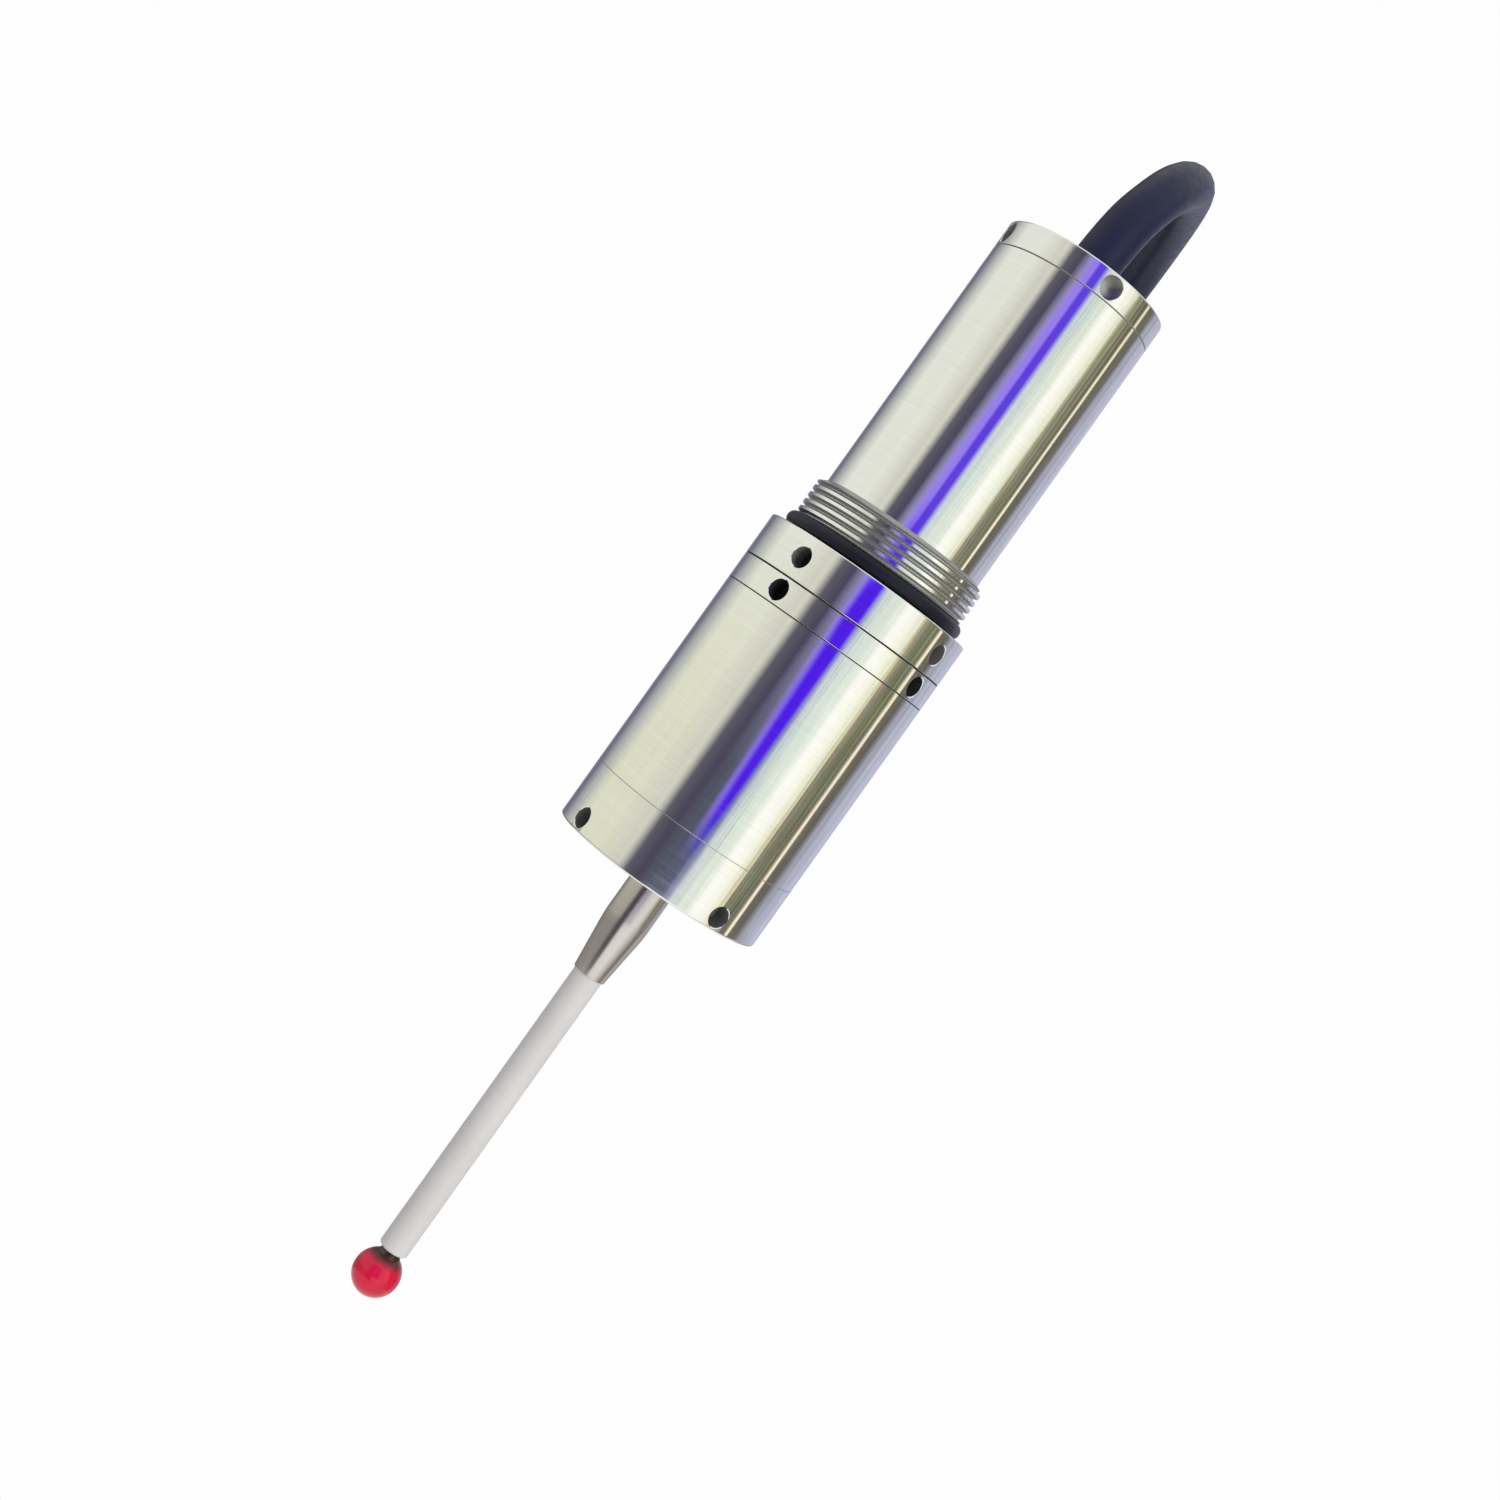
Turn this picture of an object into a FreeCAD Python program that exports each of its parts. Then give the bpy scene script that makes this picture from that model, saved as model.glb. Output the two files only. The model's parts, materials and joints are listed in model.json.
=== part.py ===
import FreeCAD, Part
import math
import os
import re

import Sketcher

# A wired touch probe: a turned steel body, a kinematic seat inside it, and a stylus with a ball tip.
# Millimetres. The origin is on the axis, in the middle of the mounting thread. +Z points to the cable end.

# Driving sizes
SIZES = [
    # housing
    ("body_diameter", "28"),
    ("body_wall", "2.5"),
    ("barrel_diameter", "22"),
    ("barrel_bore", "17"),
    ("barrel_length", "34.5"),
    ("rear_cap_height", "3.4"),
    ("rear_cap_plug_length", "4"),
    ("rear_cap_recess", "12.6"),
    ("rear_cap_roof", "3.9"),
    ("thread_diameter", "24"),
    ("thread_length", "5"),
    ("thread_lead", "0.55"),
    ("seal_section", "1.9"),
    ("seal_side_gap", "0.05"),
    ("groove_depth", "0.85"),
    ("spigot_wall", "2"),
    ("spigot_length", "17"),
    ("bore_step", "1"),
    ("lock_ring_height", "5.5"),
    ("clamp_ring_height", "3.55"),
    ("sleeve_height", "26.55"),
    ("sleeve_floor", "2"),
    ("sleeve_floor_bore", "12"),
    ("sleeve_nose_wall", "2.4"),
    ("sleeve_nose_length", "3.4"),
    ("front_cap_height", "8"),
    ("front_cap_wall", "2"),
    ("front_opening", "15.8"),
    ("edge", "0.25"),
    ("seam_edge", "0.12"),
    ("ring_seam_edge", "0.18"),
    ("screw_gap", "0.02"),
    ("spanner_hole", "2.65"),
    ("rear_hole", "2.8"),
    ("hole_depth", "2.6"),
    ("ring_hole_angle", "-34.5"),
    ("front_hole_angle", "-53"),
    ("front_hole_rise", "1.7"),
    ("rear_hole_angle", "-73"),
    # kinematic seat
    ("pivot_depth", "26.5"),
    ("seat_angle", "30"),
    ("seat_radius", "5.6"),
    ("seat_gap", "0.45"),
    ("seat_contact_angle", "60"),
    ("seat_ball", "2.5"),
    ("seat_ball_shown", "0.45"),
    ("seat_ball_gap", "0.02"),
    ("seat_ring_height", "3"),
    ("seat_ring_bore", "8.6"),
    ("seat_ring_flare", "9.8"),
    ("rod_diameter", "1.6"),
    ("rod_reach", "7"),
    ("rod_slot_depth", "1.05"),
    ("rod_slot_gap", "0.3"),
    ("rod_slot_margin", "0.6"),
    ("spacer_wall", "1.65"),
    # stylus holder and plunger
    ("hub_diameter", "8.4"),
    ("hub_above", "1.1"),
    ("hub_below", "1.5"),
    ("hub_recess", "5.4"),
    ("hub_recess_floor", "0.2"),
    ("rod_seat_overlap", "1.4"),
    ("neck_diameter", "4.8"),
    ("neck_length", "7"),
    ("holder_diameter", "5.8"),
    ("holder_length", "6.5"),
    ("stud_diameter", "4"),
    ("stud_length", "6"),
    ("pressure_ball", "3"),
    ("ball_gap", "0.03"),
    ("plunger_tip_diameter", "4"),
    ("plunger_tip_rise", "0.9"),
    ("plunger_tip_length", "5.1"),
    ("plunger_flange_diameter", "9.6"),
    ("plunger_flange_thickness", "1.2"),
    ("plunger_stem_diameter", "3.6"),
    ("plunger_stem_length", "17.5"),
    ("slide_gap", "0.05"),
    ("guide_thickness", "4"),
    ("guide_depth", "2.5"),
    ("wire_hole_margin", "0.7"),
    ("wire_hole", "1.1"),
    ("spring_diameter", "7.4"),
    ("spring_wire", "0.9"),
    ("spring_turns", "6"),
    ("spring_runs_a_turn", "10"),
    ("spring_end_gap", "0.05"),
    # diaphragm
    ("diaphragm_rim", "1"),
    ("diaphragm_wall", "0.5"),
    ("diaphragm_roll_outer", "14.8"),
    ("diaphragm_roll_inner", "8.6"),
    ("diaphragm_roll_drop", "1.3"),
    ("diaphragm_collar_wall", "0.7"),
    ("diaphragm_collar_height", "2"),
    ("diaphragm_gap", "0.05"),
    # stylus
    ("ferrule_length", "9"),
    ("ferrule_taper", "7.3"),
    ("ferrule_tip_diameter", "4.25"),
    ("stem_diameter", "3.84"),
    ("stem_length", "40.5"),
    ("stem_seat_depth", "5"),
    ("stem_edge", "0.3"),
    ("pin_diameter", "2.3"),
    ("pin_depth", "2"),
    ("collar_diameter", "3"),
    ("collar_length", "0.8"),
    ("tip_ball", "6"),
    # electronics
    ("carrier_level", "3.5"),
    ("carrier_thickness", "3"),
    ("carrier_gap", "0.1"),
    ("board_width", "13"),
    ("board_thickness", "1.6"),
    ("board_seat", "1.5"),
    ("board_slot_gap", "0.05"),
    ("chip_size", "5"),
    ("chip_height", "1.4"),
    ("chip_first_rise", "7"),
    ("chip_second_rise", "17"),
    ("wire_diameter", "0.9"),
    ("core_diameter", "0.9"),
    ("core_pitch", "1.3"),
    ("core_length", "2"),
    # cable
    ("cable_diameter", "6.2"),
    ("cable_gap", "0.05"),
    ("cable_end_depth", "5.4"),
    ("grommet_diameter", "8.6"),
    ("grommet_depth", "1.5"),
    ("grommet_rise", "1.3"),
    ("grommet_lip", "0.15"),
    ("grommet_waist", "0.78"),
    ("crimp_diameter", "10.6"),
    ("crimp_height", "1.4"),
    ("hank_width", "18.9"),
    ("hank_outer_radius", "27.9"),
    ("hank_inner_radius", "15.5"),
    ("hank_run", "38.2"),
    ("hank_gap", "3"),
    ("hank_top_rise", "3.1"),
    ("hank_edge", "2.6"),
    ("tie_width", "8"),
    ("tie_thickness", "1.1"),
    ("tie_gap", "0.05"),
    ("tie_level", "12.5"),
    # plug
    ("plug_body_diameter", "10.8"),
    ("plug_body_length", "19"),
    ("plug_neck_diameter", "8"),
    ("plug_taper", "6"),
    ("plug_shell_diameter", "12.4"),
    ("plug_shell_length", "10"),
    ("plug_insert_diameter", "8.4"),
    ("plug_insert_length", "4.5"),
    ("plug_wall_gap", "0.1"),
    ("plug_pin_diameter", "1"),
    ("plug_pin_length", "5"),
    ("plug_pin_circle", "4.4"),
]

# Sizes and levels worked out from the driving ones
DERIVED = [
    ("body_radius", "body_diameter / 2"),
    ("barrel_radius", "barrel_diameter / 2"),
    ("barrel_bore_radius", "barrel_bore / 2"),
    ("thread_radius", "thread_diameter / 2"),
    ("thread_top", "thread_length / 2"),
    ("thread_bottom", "-thread_length / 2"),
    ("groove_width", "seal_section + 2 * seal_side_gap"),
    ("shoulder_level", "thread_bottom - groove_width"),
    ("barrel_top", "thread_top + barrel_length"),
    ("rear_cap_top", "barrel_top + rear_cap_height"),
    ("rear_cap_ceiling", "rear_cap_top - rear_cap_roof"),
    ("spigot_radius", "body_radius - body_wall"),
    ("spigot_bore_radius", "spigot_radius - spigot_wall"),
    ("groove_radius", "spigot_radius - groove_depth"),
    ("seal_circle", "groove_radius + seal_side_gap + seal_section / 2"),
    ("spigot_end", "shoulder_level - spigot_length"),
    ("ring_bore_radius", "spigot_radius + screw_gap"),
    ("clamp_ring_top", "shoulder_level - lock_ring_height"),
    ("sleeve_top", "clamp_ring_top - clamp_ring_height"),
    ("sleeve_bottom", "sleeve_top - sleeve_height"),
    ("sleeve_nose_end", "sleeve_bottom - sleeve_nose_length"),
    ("sleeve_nose_radius", "body_radius - front_cap_wall"),
    ("sleeve_lower_radius", "sleeve_nose_radius - sleeve_nose_wall"),
    ("front_face", "sleeve_bottom - front_cap_height"),
    ("pivot_level", "shoulder_level - pivot_depth"),
    ("rod_radius", "rod_diameter / 2"),
    ("seat_ball_radius", "seat_ball / 2"),
    ("seat_reach", "rod_radius + seat_ball_radius + seat_gap"),
    ("seat_spread", "seat_reach * sin(seat_contact_angle * 1 deg)"),
    ("seat_ball_level", "pivot_level - seat_reach * cos(seat_contact_angle * 1 deg)"),
    ("seat_ring_top", "seat_ball_level - seat_ball_shown"),
    ("seat_ring_bottom", "seat_ring_top - seat_ring_height"),
    ("sleeve_floor_bottom", "seat_ring_bottom - sleeve_floor"),
    ("pressed_radius", "ring_bore_radius - 2 * screw_gap"),
    ("hub_radius", "hub_diameter / 2"),
    ("hub_top", "pivot_level + hub_above"),
    ("hub_bottom", "pivot_level - hub_below"),
    ("holder_top", "hub_bottom - neck_length"),
    ("holder_bottom", "holder_top - holder_length"),
    ("holder_radius", "holder_diameter / 2"),
    ("plunger_tip_end", "pivot_level + plunger_tip_rise"),
    ("plunger_flange_bottom", "plunger_tip_end + plunger_tip_length"),
    ("plunger_flange_top", "plunger_flange_bottom + plunger_flange_thickness"),
    ("plunger_top", "plunger_flange_top + plunger_stem_length"),
    ("wire_hole_radius", "min(spigot_bore_radius; barrel_bore_radius) - wire_hole_margin"),
    ("guide_top", "shoulder_level - guide_depth"),
    ("guide_bottom", "guide_top - guide_thickness"),
    ("diaphragm_top", "sleeve_nose_end"),
    ("diaphragm_bottom", "diaphragm_top - diaphragm_rim"),
    ("front_opening_radius", "front_opening / 2"),
    ("ferrule_shoulder", "holder_bottom - ferrule_length"),
    ("ferrule_end", "ferrule_shoulder - ferrule_taper"),
    ("stem_radius", "stem_diameter / 2"),
    ("stem_top", "ferrule_end + stem_seat_depth"),
    ("stem_end", "ferrule_end - stem_length"),
    ("collar_end", "stem_end - collar_length"),
    ("tip_radius", "tip_ball / 2"),
    ("tip_center", "collar_end - sqrt(tip_radius ^ 2 - (collar_diameter / 2) ^ 2)"),
    ("carrier_top", "carrier_level + carrier_thickness"),
    ("board_bottom", "carrier_top - board_seat"),
    ("cable_radius", "cable_diameter / 2"),
    ("cable_hole_radius", "cable_radius + cable_gap"),
    ("cable_end", "rear_cap_top - cable_end_depth"),
    ("board_top", "cable_end - core_length"),
    ("grommet_bottom", "rear_cap_top - grommet_depth"),
    ("hank_middle", "body_radius + hank_gap + hank_outer_radius"),
    ("hank_top", "rear_cap_top + hank_top_rise"),
    ("hank_upper_center", "hank_top - hank_outer_radius"),
    ("hank_lower_center", "hank_upper_center - hank_run"),
]

# Counts, and the part of a run that each bend of a cord takes
SPANNER_HOLES = 4
SEAT_RODS = 3
WIRE_HOLES = 2
PLUG_PINS = 4
BEND_SHARE = 0.45

doc = FreeCAD.newDocument("touch_probe")
sheet = doc.addObject("Spreadsheet::Sheet", "Sizes")
levels = doc.addObject("Spreadsheet::Sheet", "Levels")
NAMES = {name: "Sizes." + name for name, _ in SIZES}
NAMES.update({name: "Levels." + name for name, _ in DERIVED})
subparts = []


def bound(text):
    """The expression with every size name written as its sheet and alias."""
    return re.sub(r"[a-z_]+[a-z]", lambda found: NAMES.get(found.group(), found.group()), str(text))


def fill_sheets():
    for row, (name, value) in enumerate(SIZES, start=1):
        sheet.set(f"A{row}", name)
        sheet.set(f"B{row}", value)
        sheet.setAlias(f"B{row}", name)
    doc.recompute()
    for row, (name, formula) in enumerate(DERIVED, start=1):
        levels.set(f"A{row}", name)
        levels.set(f"B{row}", "=" + bound(formula).replace("Levels.", ""))
        levels.setAlias(f"B{row}", name)
    doc.recompute()


def size(text):
    """The number that an expression of the sheets stands for."""
    return float(levels.evalExpression(bound(text).replace("Levels.", "")))


def keep(piece, label):
    """Marks a finished sub-part: its label names its file."""
    piece.Label = label
    subparts.append(piece)
    return piece


def origin_feature(body, role):
    return next(feature for feature in body.Origin.OriginFeatures if feature.Role == role)


def outline(body, name, plane, corners, lift=None):
    """A closed sketch of straight lines, each corner held by two expressions."""
    sketch = body.newObject("Sketcher::SketchObject", name)
    sketch.AttachmentSupport = [(origin_feature(body, plane), "")]
    sketch.MapMode = "FlatFace"
    if lift is not None:
        sketch.setExpression("AttachmentOffset.Base.z", bound(lift))
    points = [FreeCAD.Vector(size(a), size(b), 0) for a, b in corners]
    count = len(points)
    sides = [Part.LineSegment(points[i], points[(i + 1) % count]) for i in range(count)]
    sketch.addGeometry(sides, False)
    holds = [Sketcher.Constraint("Coincident", i, 2, (i + 1) % count, 1) for i in range(count)]
    for i, point in enumerate(points):
        holds.append(Sketcher.Constraint("DistanceX", -1, 1, i, 1, point.x))
        holds.append(Sketcher.Constraint("DistanceY", -1, 1, i, 1, point.y))
    sketch.addConstraint(holds)
    for i, (a, b) in enumerate(corners):
        sketch.setExpression(f"Constraints[{count + 2 * i}]", bound(a))
        sketch.setExpression(f"Constraints[{count + 2 * i + 1}]", bound(b))
    return sketch


def circle_sketch(body, name, plane, a, b, diameter, lift=None):
    sketch = body.newObject("Sketcher::SketchObject", name)
    sketch.AttachmentSupport = [(origin_feature(body, plane), "")]
    sketch.MapMode = "FlatFace"
    if lift is not None:
        sketch.setExpression("AttachmentOffset.Base.z", bound(lift))
    middle = FreeCAD.Vector(size(a), size(b), 0)
    sketch.addGeometry(Part.Circle(middle, FreeCAD.Vector(0, 0, 1), size(diameter) / 2), False)
    sketch.addConstraint(Sketcher.Constraint("DistanceX", -1, 1, 0, 3, middle.x))
    sketch.addConstraint(Sketcher.Constraint("DistanceY", -1, 1, 0, 3, middle.y))
    sketch.addConstraint(Sketcher.Constraint("Diameter", 0, size(diameter)))
    sketch.setExpression("Constraints[0]", bound(a))
    sketch.setExpression("Constraints[1]", bound(b))
    sketch.setExpression("Constraints[2]", bound(diameter))
    return sketch


def turned(name, corners):
    """A body turned about Z from its half section, given as radius and level."""
    body = doc.addObject("PartDesign::Body", name)
    sketch = outline(body, name + "_section", "XZ_Plane", corners)
    turning = body.newObject("PartDesign::Revolution", name + "_turned")
    turning.Profile = sketch
    turning.ReferenceAxis = (sketch, ["V_Axis"])
    turning.Angle = 360
    doc.recompute()
    return body


def cut_round_the_axis(body, name, sketch, length, count):
    """A pocket that runs outward along +X, repeated round Z."""
    pocket = body.newObject("PartDesign::Pocket", name + "_cut")
    pocket.Profile = sketch
    pocket.setExpression("Length", bound(length))
    pocket.Reversed = True
    doc.recompute()
    pattern = body.newObject("PartDesign::PolarPattern", name + "_pattern")
    pattern.Originals = [pocket]
    pattern.Axis = (origin_feature(body, "Z_Axis"), [""])
    pattern.Angle = 360
    pattern.Occurrences = count
    body.Tip = pattern
    before = pocket.BaseFeature.Shape.Volume
    doc.recompute()
    if not body.Shape.Volume < before:
        raise RuntimeError(f"{name} cuts nothing from {body.Name}")


def turn_to(piece, angle):
    """Turns a sub-part about Z by an angle of the sheet, in degrees."""
    piece.Placement = FreeCAD.Placement(FreeCAD.Vector(), FreeCAD.Vector(0, 0, 1), size(angle))
    piece.setExpression("Placement.Rotation.Angle", bound(angle) + " * 1 deg")


def cylinder(name, diameter, length, place):
    piece = doc.addObject("Part::Cylinder", name)
    piece.setExpression("Radius", bound(f"({diameter}) / 2"))
    piece.setExpression("Height", bound(length))
    move(piece, place)
    return piece


def ball(name, diameter, place):
    piece = doc.addObject("Part::Sphere", name)
    piece.setExpression("Radius", bound(f"({diameter}) / 2"))
    move(piece, place)
    return piece


def block(name, sides, place):
    piece = doc.addObject("Part::Box", name)
    for side, text in zip(("Length", "Width", "Height"), sides):
        piece.setExpression(side, bound(text))
    move(piece, place)
    return piece


def move(piece, place):
    for axis, text in zip("xyz", place):
        piece.setExpression("Placement.Base." + axis, bound(text))


def group(label, pieces):
    """Separate solids that share one node."""
    holder = doc.addObject("Part::Compound", label)
    holder.Links = pieces
    return keep(holder, label)


def cut(label, base, tool):
    piece = doc.addObject("Part::Cut", label)
    piece.Base = base
    piece.Tool = tool
    return keep(piece, label)


def round_z(radius, offset, angle):
    """The x and y expressions of a point at a radius and a sideways offset, turned about Z."""
    along = f"({radius})"
    across = f"({offset})"
    x = f"{along} * cos(seat_angle * 1 deg + {angle} deg) - {across} * sin(seat_angle * 1 deg + {angle} deg)"
    y = f"{along} * sin(seat_angle * 1 deg + {angle} deg) + {across} * cos(seat_angle * 1 deg + {angle} deg)"
    return x, y


def ring_with_edges(name, bore, radius, bottom, top, lower_edge, upper_edge):
    """A turned ring with a chamfer on each outer edge."""
    return turned(name, [
        (bore, bottom),
        (f"{radius} - {lower_edge}", bottom),
        (radius, f"{bottom} + {lower_edge}"),
        (radius, f"{top} - {upper_edge}"),
        (f"{radius} - {upper_edge}", top),
        (bore, top),
    ])


# Housing: the rear tube carries the mounting thread, the seal groove and the spigot that the body screws on

def make_rear_tube():
    tube = turned("rear_tube", [
        ("spigot_bore_radius", "spigot_end"),
        ("spigot_radius - edge", "spigot_end"),
        ("spigot_radius", "spigot_end + edge"),
        ("spigot_radius", "shoulder_level"),
        ("groove_radius", "shoulder_level"),
        ("groove_radius", "thread_bottom"),
        ("thread_radius - edge", "thread_bottom"),
        ("thread_radius", "thread_bottom + edge"),
        ("thread_radius", "thread_top - thread_lead"),
        ("barrel_radius", "thread_top"),
        ("barrel_radius", "barrel_top - seam_edge"),
        ("barrel_radius - seam_edge", "barrel_top"),
        ("barrel_bore_radius", "barrel_top"),
        ("barrel_bore_radius", "shoulder_level - bore_step"),
        ("spigot_bore_radius", "shoulder_level - bore_step"),
    ])
    keep(tube, "rear_tube")


def make_mounting_seal():
    seal = doc.addObject("Part::Torus", "mounting_seal")
    seal.setExpression("Radius1", bound("seal_circle"))
    seal.setExpression("Radius2", bound("seal_section / 2"))
    move(seal, ("0", "0", "(shoulder_level + thread_bottom) / 2"))
    keep(seal, "mounting_seal")


def make_rings():
    """The lock ring and the clamp ring, screwed on the spigot, each with four spanner holes."""
    rings = (
        ("lock_ring", "clamp_ring_top", "shoulder_level", "ring_seam_edge", "edge"),
        ("clamp_ring", "sleeve_top", "clamp_ring_top", "seam_edge", "ring_seam_edge"),
    )
    for name, bottom, top, lower_edge, upper_edge in rings:
        ring = ring_with_edges(name, "ring_bore_radius", "body_radius", bottom, top, lower_edge, upper_edge)
        hole = circle_sketch(ring, name + "_hole", "YZ_Plane", "0", f"({bottom} + {top}) / 2", "spanner_hole")
        cut_round_the_axis(ring, name + "_holes", hole, "body_radius + edge", SPANNER_HOLES)
        turn_to(ring, "ring_hole_angle")
        keep(ring, name)


def make_main_sleeve():
    sleeve = turned("main_sleeve", [
        ("ring_bore_radius", "sleeve_top"),
        ("ring_bore_radius", "seat_ring_bottom"),
        ("sleeve_floor_bore / 2", "seat_ring_bottom"),
        ("sleeve_floor_bore / 2", "sleeve_floor_bottom"),
        ("sleeve_lower_radius", "sleeve_floor_bottom"),
        ("sleeve_lower_radius", "sleeve_nose_end"),
        ("sleeve_nose_radius", "sleeve_nose_end"),
        ("sleeve_nose_radius", "sleeve_bottom"),
        ("body_radius - seam_edge", "sleeve_bottom"),
        ("body_radius", "sleeve_bottom + seam_edge"),
        ("body_radius", "sleeve_top - seam_edge"),
        ("body_radius - seam_edge", "sleeve_top"),
    ])
    keep(sleeve, "main_sleeve")


def make_front_cap():
    """Screws on the sleeve's nose, clamps the diaphragm and leaves the opening for the stylus."""
    cap = turned("front_cap", [
        ("sleeve_nose_radius + screw_gap", "sleeve_bottom"),
        ("sleeve_nose_radius + screw_gap", "diaphragm_bottom"),
        ("front_opening_radius", "diaphragm_bottom"),
        ("front_opening_radius", "front_face + edge"),
        ("front_opening_radius + edge", "front_face"),
        ("body_radius - edge", "front_face"),
        ("body_radius", "front_face + edge"),
        ("body_radius", "sleeve_bottom - seam_edge"),
        ("body_radius - seam_edge", "sleeve_bottom"),
    ])
    hole = circle_sketch(
        cap, "front_hole", "YZ_Plane", "0", "front_face + front_hole_rise", "spanner_hole",
        "body_radius - hole_depth"
    )
    cut_round_the_axis(cap, "front_holes", hole, "hole_depth + edge", SPANNER_HOLES)
    turn_to(cap, "front_hole_angle")
    keep(cap, "front_cap")


def make_rear_cap():
    """Screws into the barrel. The cable comes out through its grommet."""
    cap = turned("rear_cap", [
        ("cable_hole_radius", "rear_cap_ceiling"),
        ("rear_cap_recess / 2", "rear_cap_ceiling"),
        ("rear_cap_recess / 2", "barrel_top - rear_cap_plug_length"),
        ("barrel_bore_radius - screw_gap", "barrel_top - rear_cap_plug_length"),
        ("barrel_bore_radius - screw_gap", "barrel_top"),
        ("barrel_radius - seam_edge", "barrel_top"),
        ("barrel_radius", "barrel_top + seam_edge"),
        ("barrel_radius", "rear_cap_top - edge"),
        ("barrel_radius - edge", "rear_cap_top"),
        ("grommet_diameter / 2", "rear_cap_top"),
        ("grommet_diameter / 2", "grommet_bottom"),
        ("cable_hole_radius", "grommet_bottom"),
    ])
    hole = circle_sketch(
        cap, "rear_hole", "YZ_Plane", "0", "(barrel_top + rear_cap_top) / 2", "rear_hole",
        "barrel_radius - hole_depth"
    )
    cut_round_the_axis(cap, "rear_holes", hole, "hole_depth + edge", SPANNER_HOLES)
    turn_to(cap, "rear_hole_angle")
    keep(cap, "rear_cap")


# Kinematic seat: three rods of the hub rest in three pairs of balls, under a spring

def make_seat_ring():
    ring = turned("seat_ring_blank", [
        ("seat_ring_flare / 2", "seat_ring_bottom"),
        ("pressed_radius", "seat_ring_bottom"),
        ("pressed_radius", "seat_ring_top"),
        ("seat_ring_bore / 2", "seat_ring_top"),
    ])
    half_slot = "(rod_radius + rod_slot_gap)"
    slot = outline(ring, "rod_slot", "YZ_Plane", [
        (f"-{half_slot}", "seat_ring_top - rod_slot_depth"),
        (half_slot, "seat_ring_top - rod_slot_depth"),
        (half_slot, "seat_ring_top + rod_slot_depth"),
        (f"-{half_slot}", "seat_ring_top + rod_slot_depth"),
    ])
    cut_round_the_axis(ring, "rod_slots", slot, "rod_reach + rod_slot_margin", SEAT_RODS)
    turn_to(ring, "seat_angle")
    sockets = doc.addObject("Part::Compound", "ball_sockets")
    sockets.Links = seat_ball_set("socket", "seat_ball + 2 * seat_ball_gap")
    cut("seat_ring", ring, sockets)
    group("seat_balls", seat_ball_set("seat_ball", "seat_ball"))


def seat_ball_set(name, diameter):
    """Six balls, two beside each rod."""
    balls = []
    for rod in range(SEAT_RODS):
        for side in (-1, 1):
            x, y = round_z("seat_radius", f"{side} * seat_spread", rod * 360 / SEAT_RODS)
            balls.append(ball(f"{name}_{rod}_{side + 1}", diameter, (x, y, "seat_ball_level")))
    return balls


def make_spacer():
    spacer = turned("spacer_tube", [
        ("pressed_radius - spacer_wall", "seat_ring_top"),
        ("pressed_radius", "seat_ring_top"),
        ("pressed_radius", "spigot_end"),
        ("pressed_radius - spacer_wall", "spigot_end"),
    ])
    keep(spacer, "spacer_tube")


def make_hub():
    """The stylus holder: a hub with a ball socket, three rods and a threaded foot."""
    hub = turned("hub_blank", [
        ("0", "pivot_level + hub_recess_floor"),
        ("hub_recess / 2", "pivot_level + hub_recess_floor"),
        ("hub_recess / 2", "hub_top"),
        ("hub_radius - edge", "hub_top"),
        ("hub_radius", "hub_top - edge"),
        ("hub_radius", "hub_bottom"),
        ("neck_diameter / 2", "hub_bottom"),
        ("neck_diameter / 2", "holder_top"),
        ("holder_radius", "holder_top"),
        ("holder_radius", "holder_bottom"),
        ("stud_diameter / 2 + screw_gap", "holder_bottom"),
        ("stud_diameter / 2 + screw_gap", "holder_top"),
        ("0", "holder_top"),
    ])
    hole = circle_sketch(
        hub, "rod_hole", "YZ_Plane", "0", "pivot_level", "rod_diameter", "hub_radius - rod_seat_overlap"
    )
    cut_round_the_axis(hub, "rod_holes", hole, "rod_seat_overlap + edge", SEAT_RODS)
    turn_to(hub, "seat_angle")
    cut("tripod_hub", hub, ball("hub_socket", "pressure_ball + 2 * ball_gap", ("0", "0", "pivot_level")))


def make_rods():
    rods = []
    for index in range(SEAT_RODS):
        x, y = round_z("hub_radius - rod_seat_overlap", "0", index * 360 / SEAT_RODS)
        length = "rod_reach - hub_radius + rod_seat_overlap"
        rod = cylinder(f"rod_{index}", "rod_diameter", length, (x, y, "pivot_level"))
        # a cylinder stands along Z: it is laid down along X first, then turned to its place
        lay = FreeCAD.Rotation(FreeCAD.Vector(0, 1, 0), 90)
        around = FreeCAD.Rotation(FreeCAD.Vector(0, 0, 1), size("seat_angle") + index * 360 / SEAT_RODS)
        rod.Placement = FreeCAD.Placement(rod.Placement.Base, around.multiply(lay))
        rods.append(rod)
    group("contact_rods", rods)


def make_plunger():
    plunger = turned("plunger_blank", [
        ("0", "plunger_tip_end"),
        ("plunger_tip_diameter / 2", "plunger_tip_end"),
        ("plunger_tip_diameter / 2", "plunger_flange_bottom"),
        ("plunger_flange_diameter / 2", "plunger_flange_bottom"),
        ("plunger_flange_diameter / 2", "plunger_flange_top"),
        ("plunger_stem_diameter / 2", "plunger_flange_top"),
        ("plunger_stem_diameter / 2", "plunger_top - edge"),
        ("plunger_stem_diameter / 2 - edge", "plunger_top"),
        ("0", "plunger_top"),
    ])
    socket = ball("plunger_socket", "pressure_ball + 2 * ball_gap", ("0", "0", "pivot_level"))
    cut("spring_plunger", plunger, socket)
    keep(ball("pressure_ball", "pressure_ball", ("0", "0", "pivot_level")), "pressure_ball")


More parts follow.
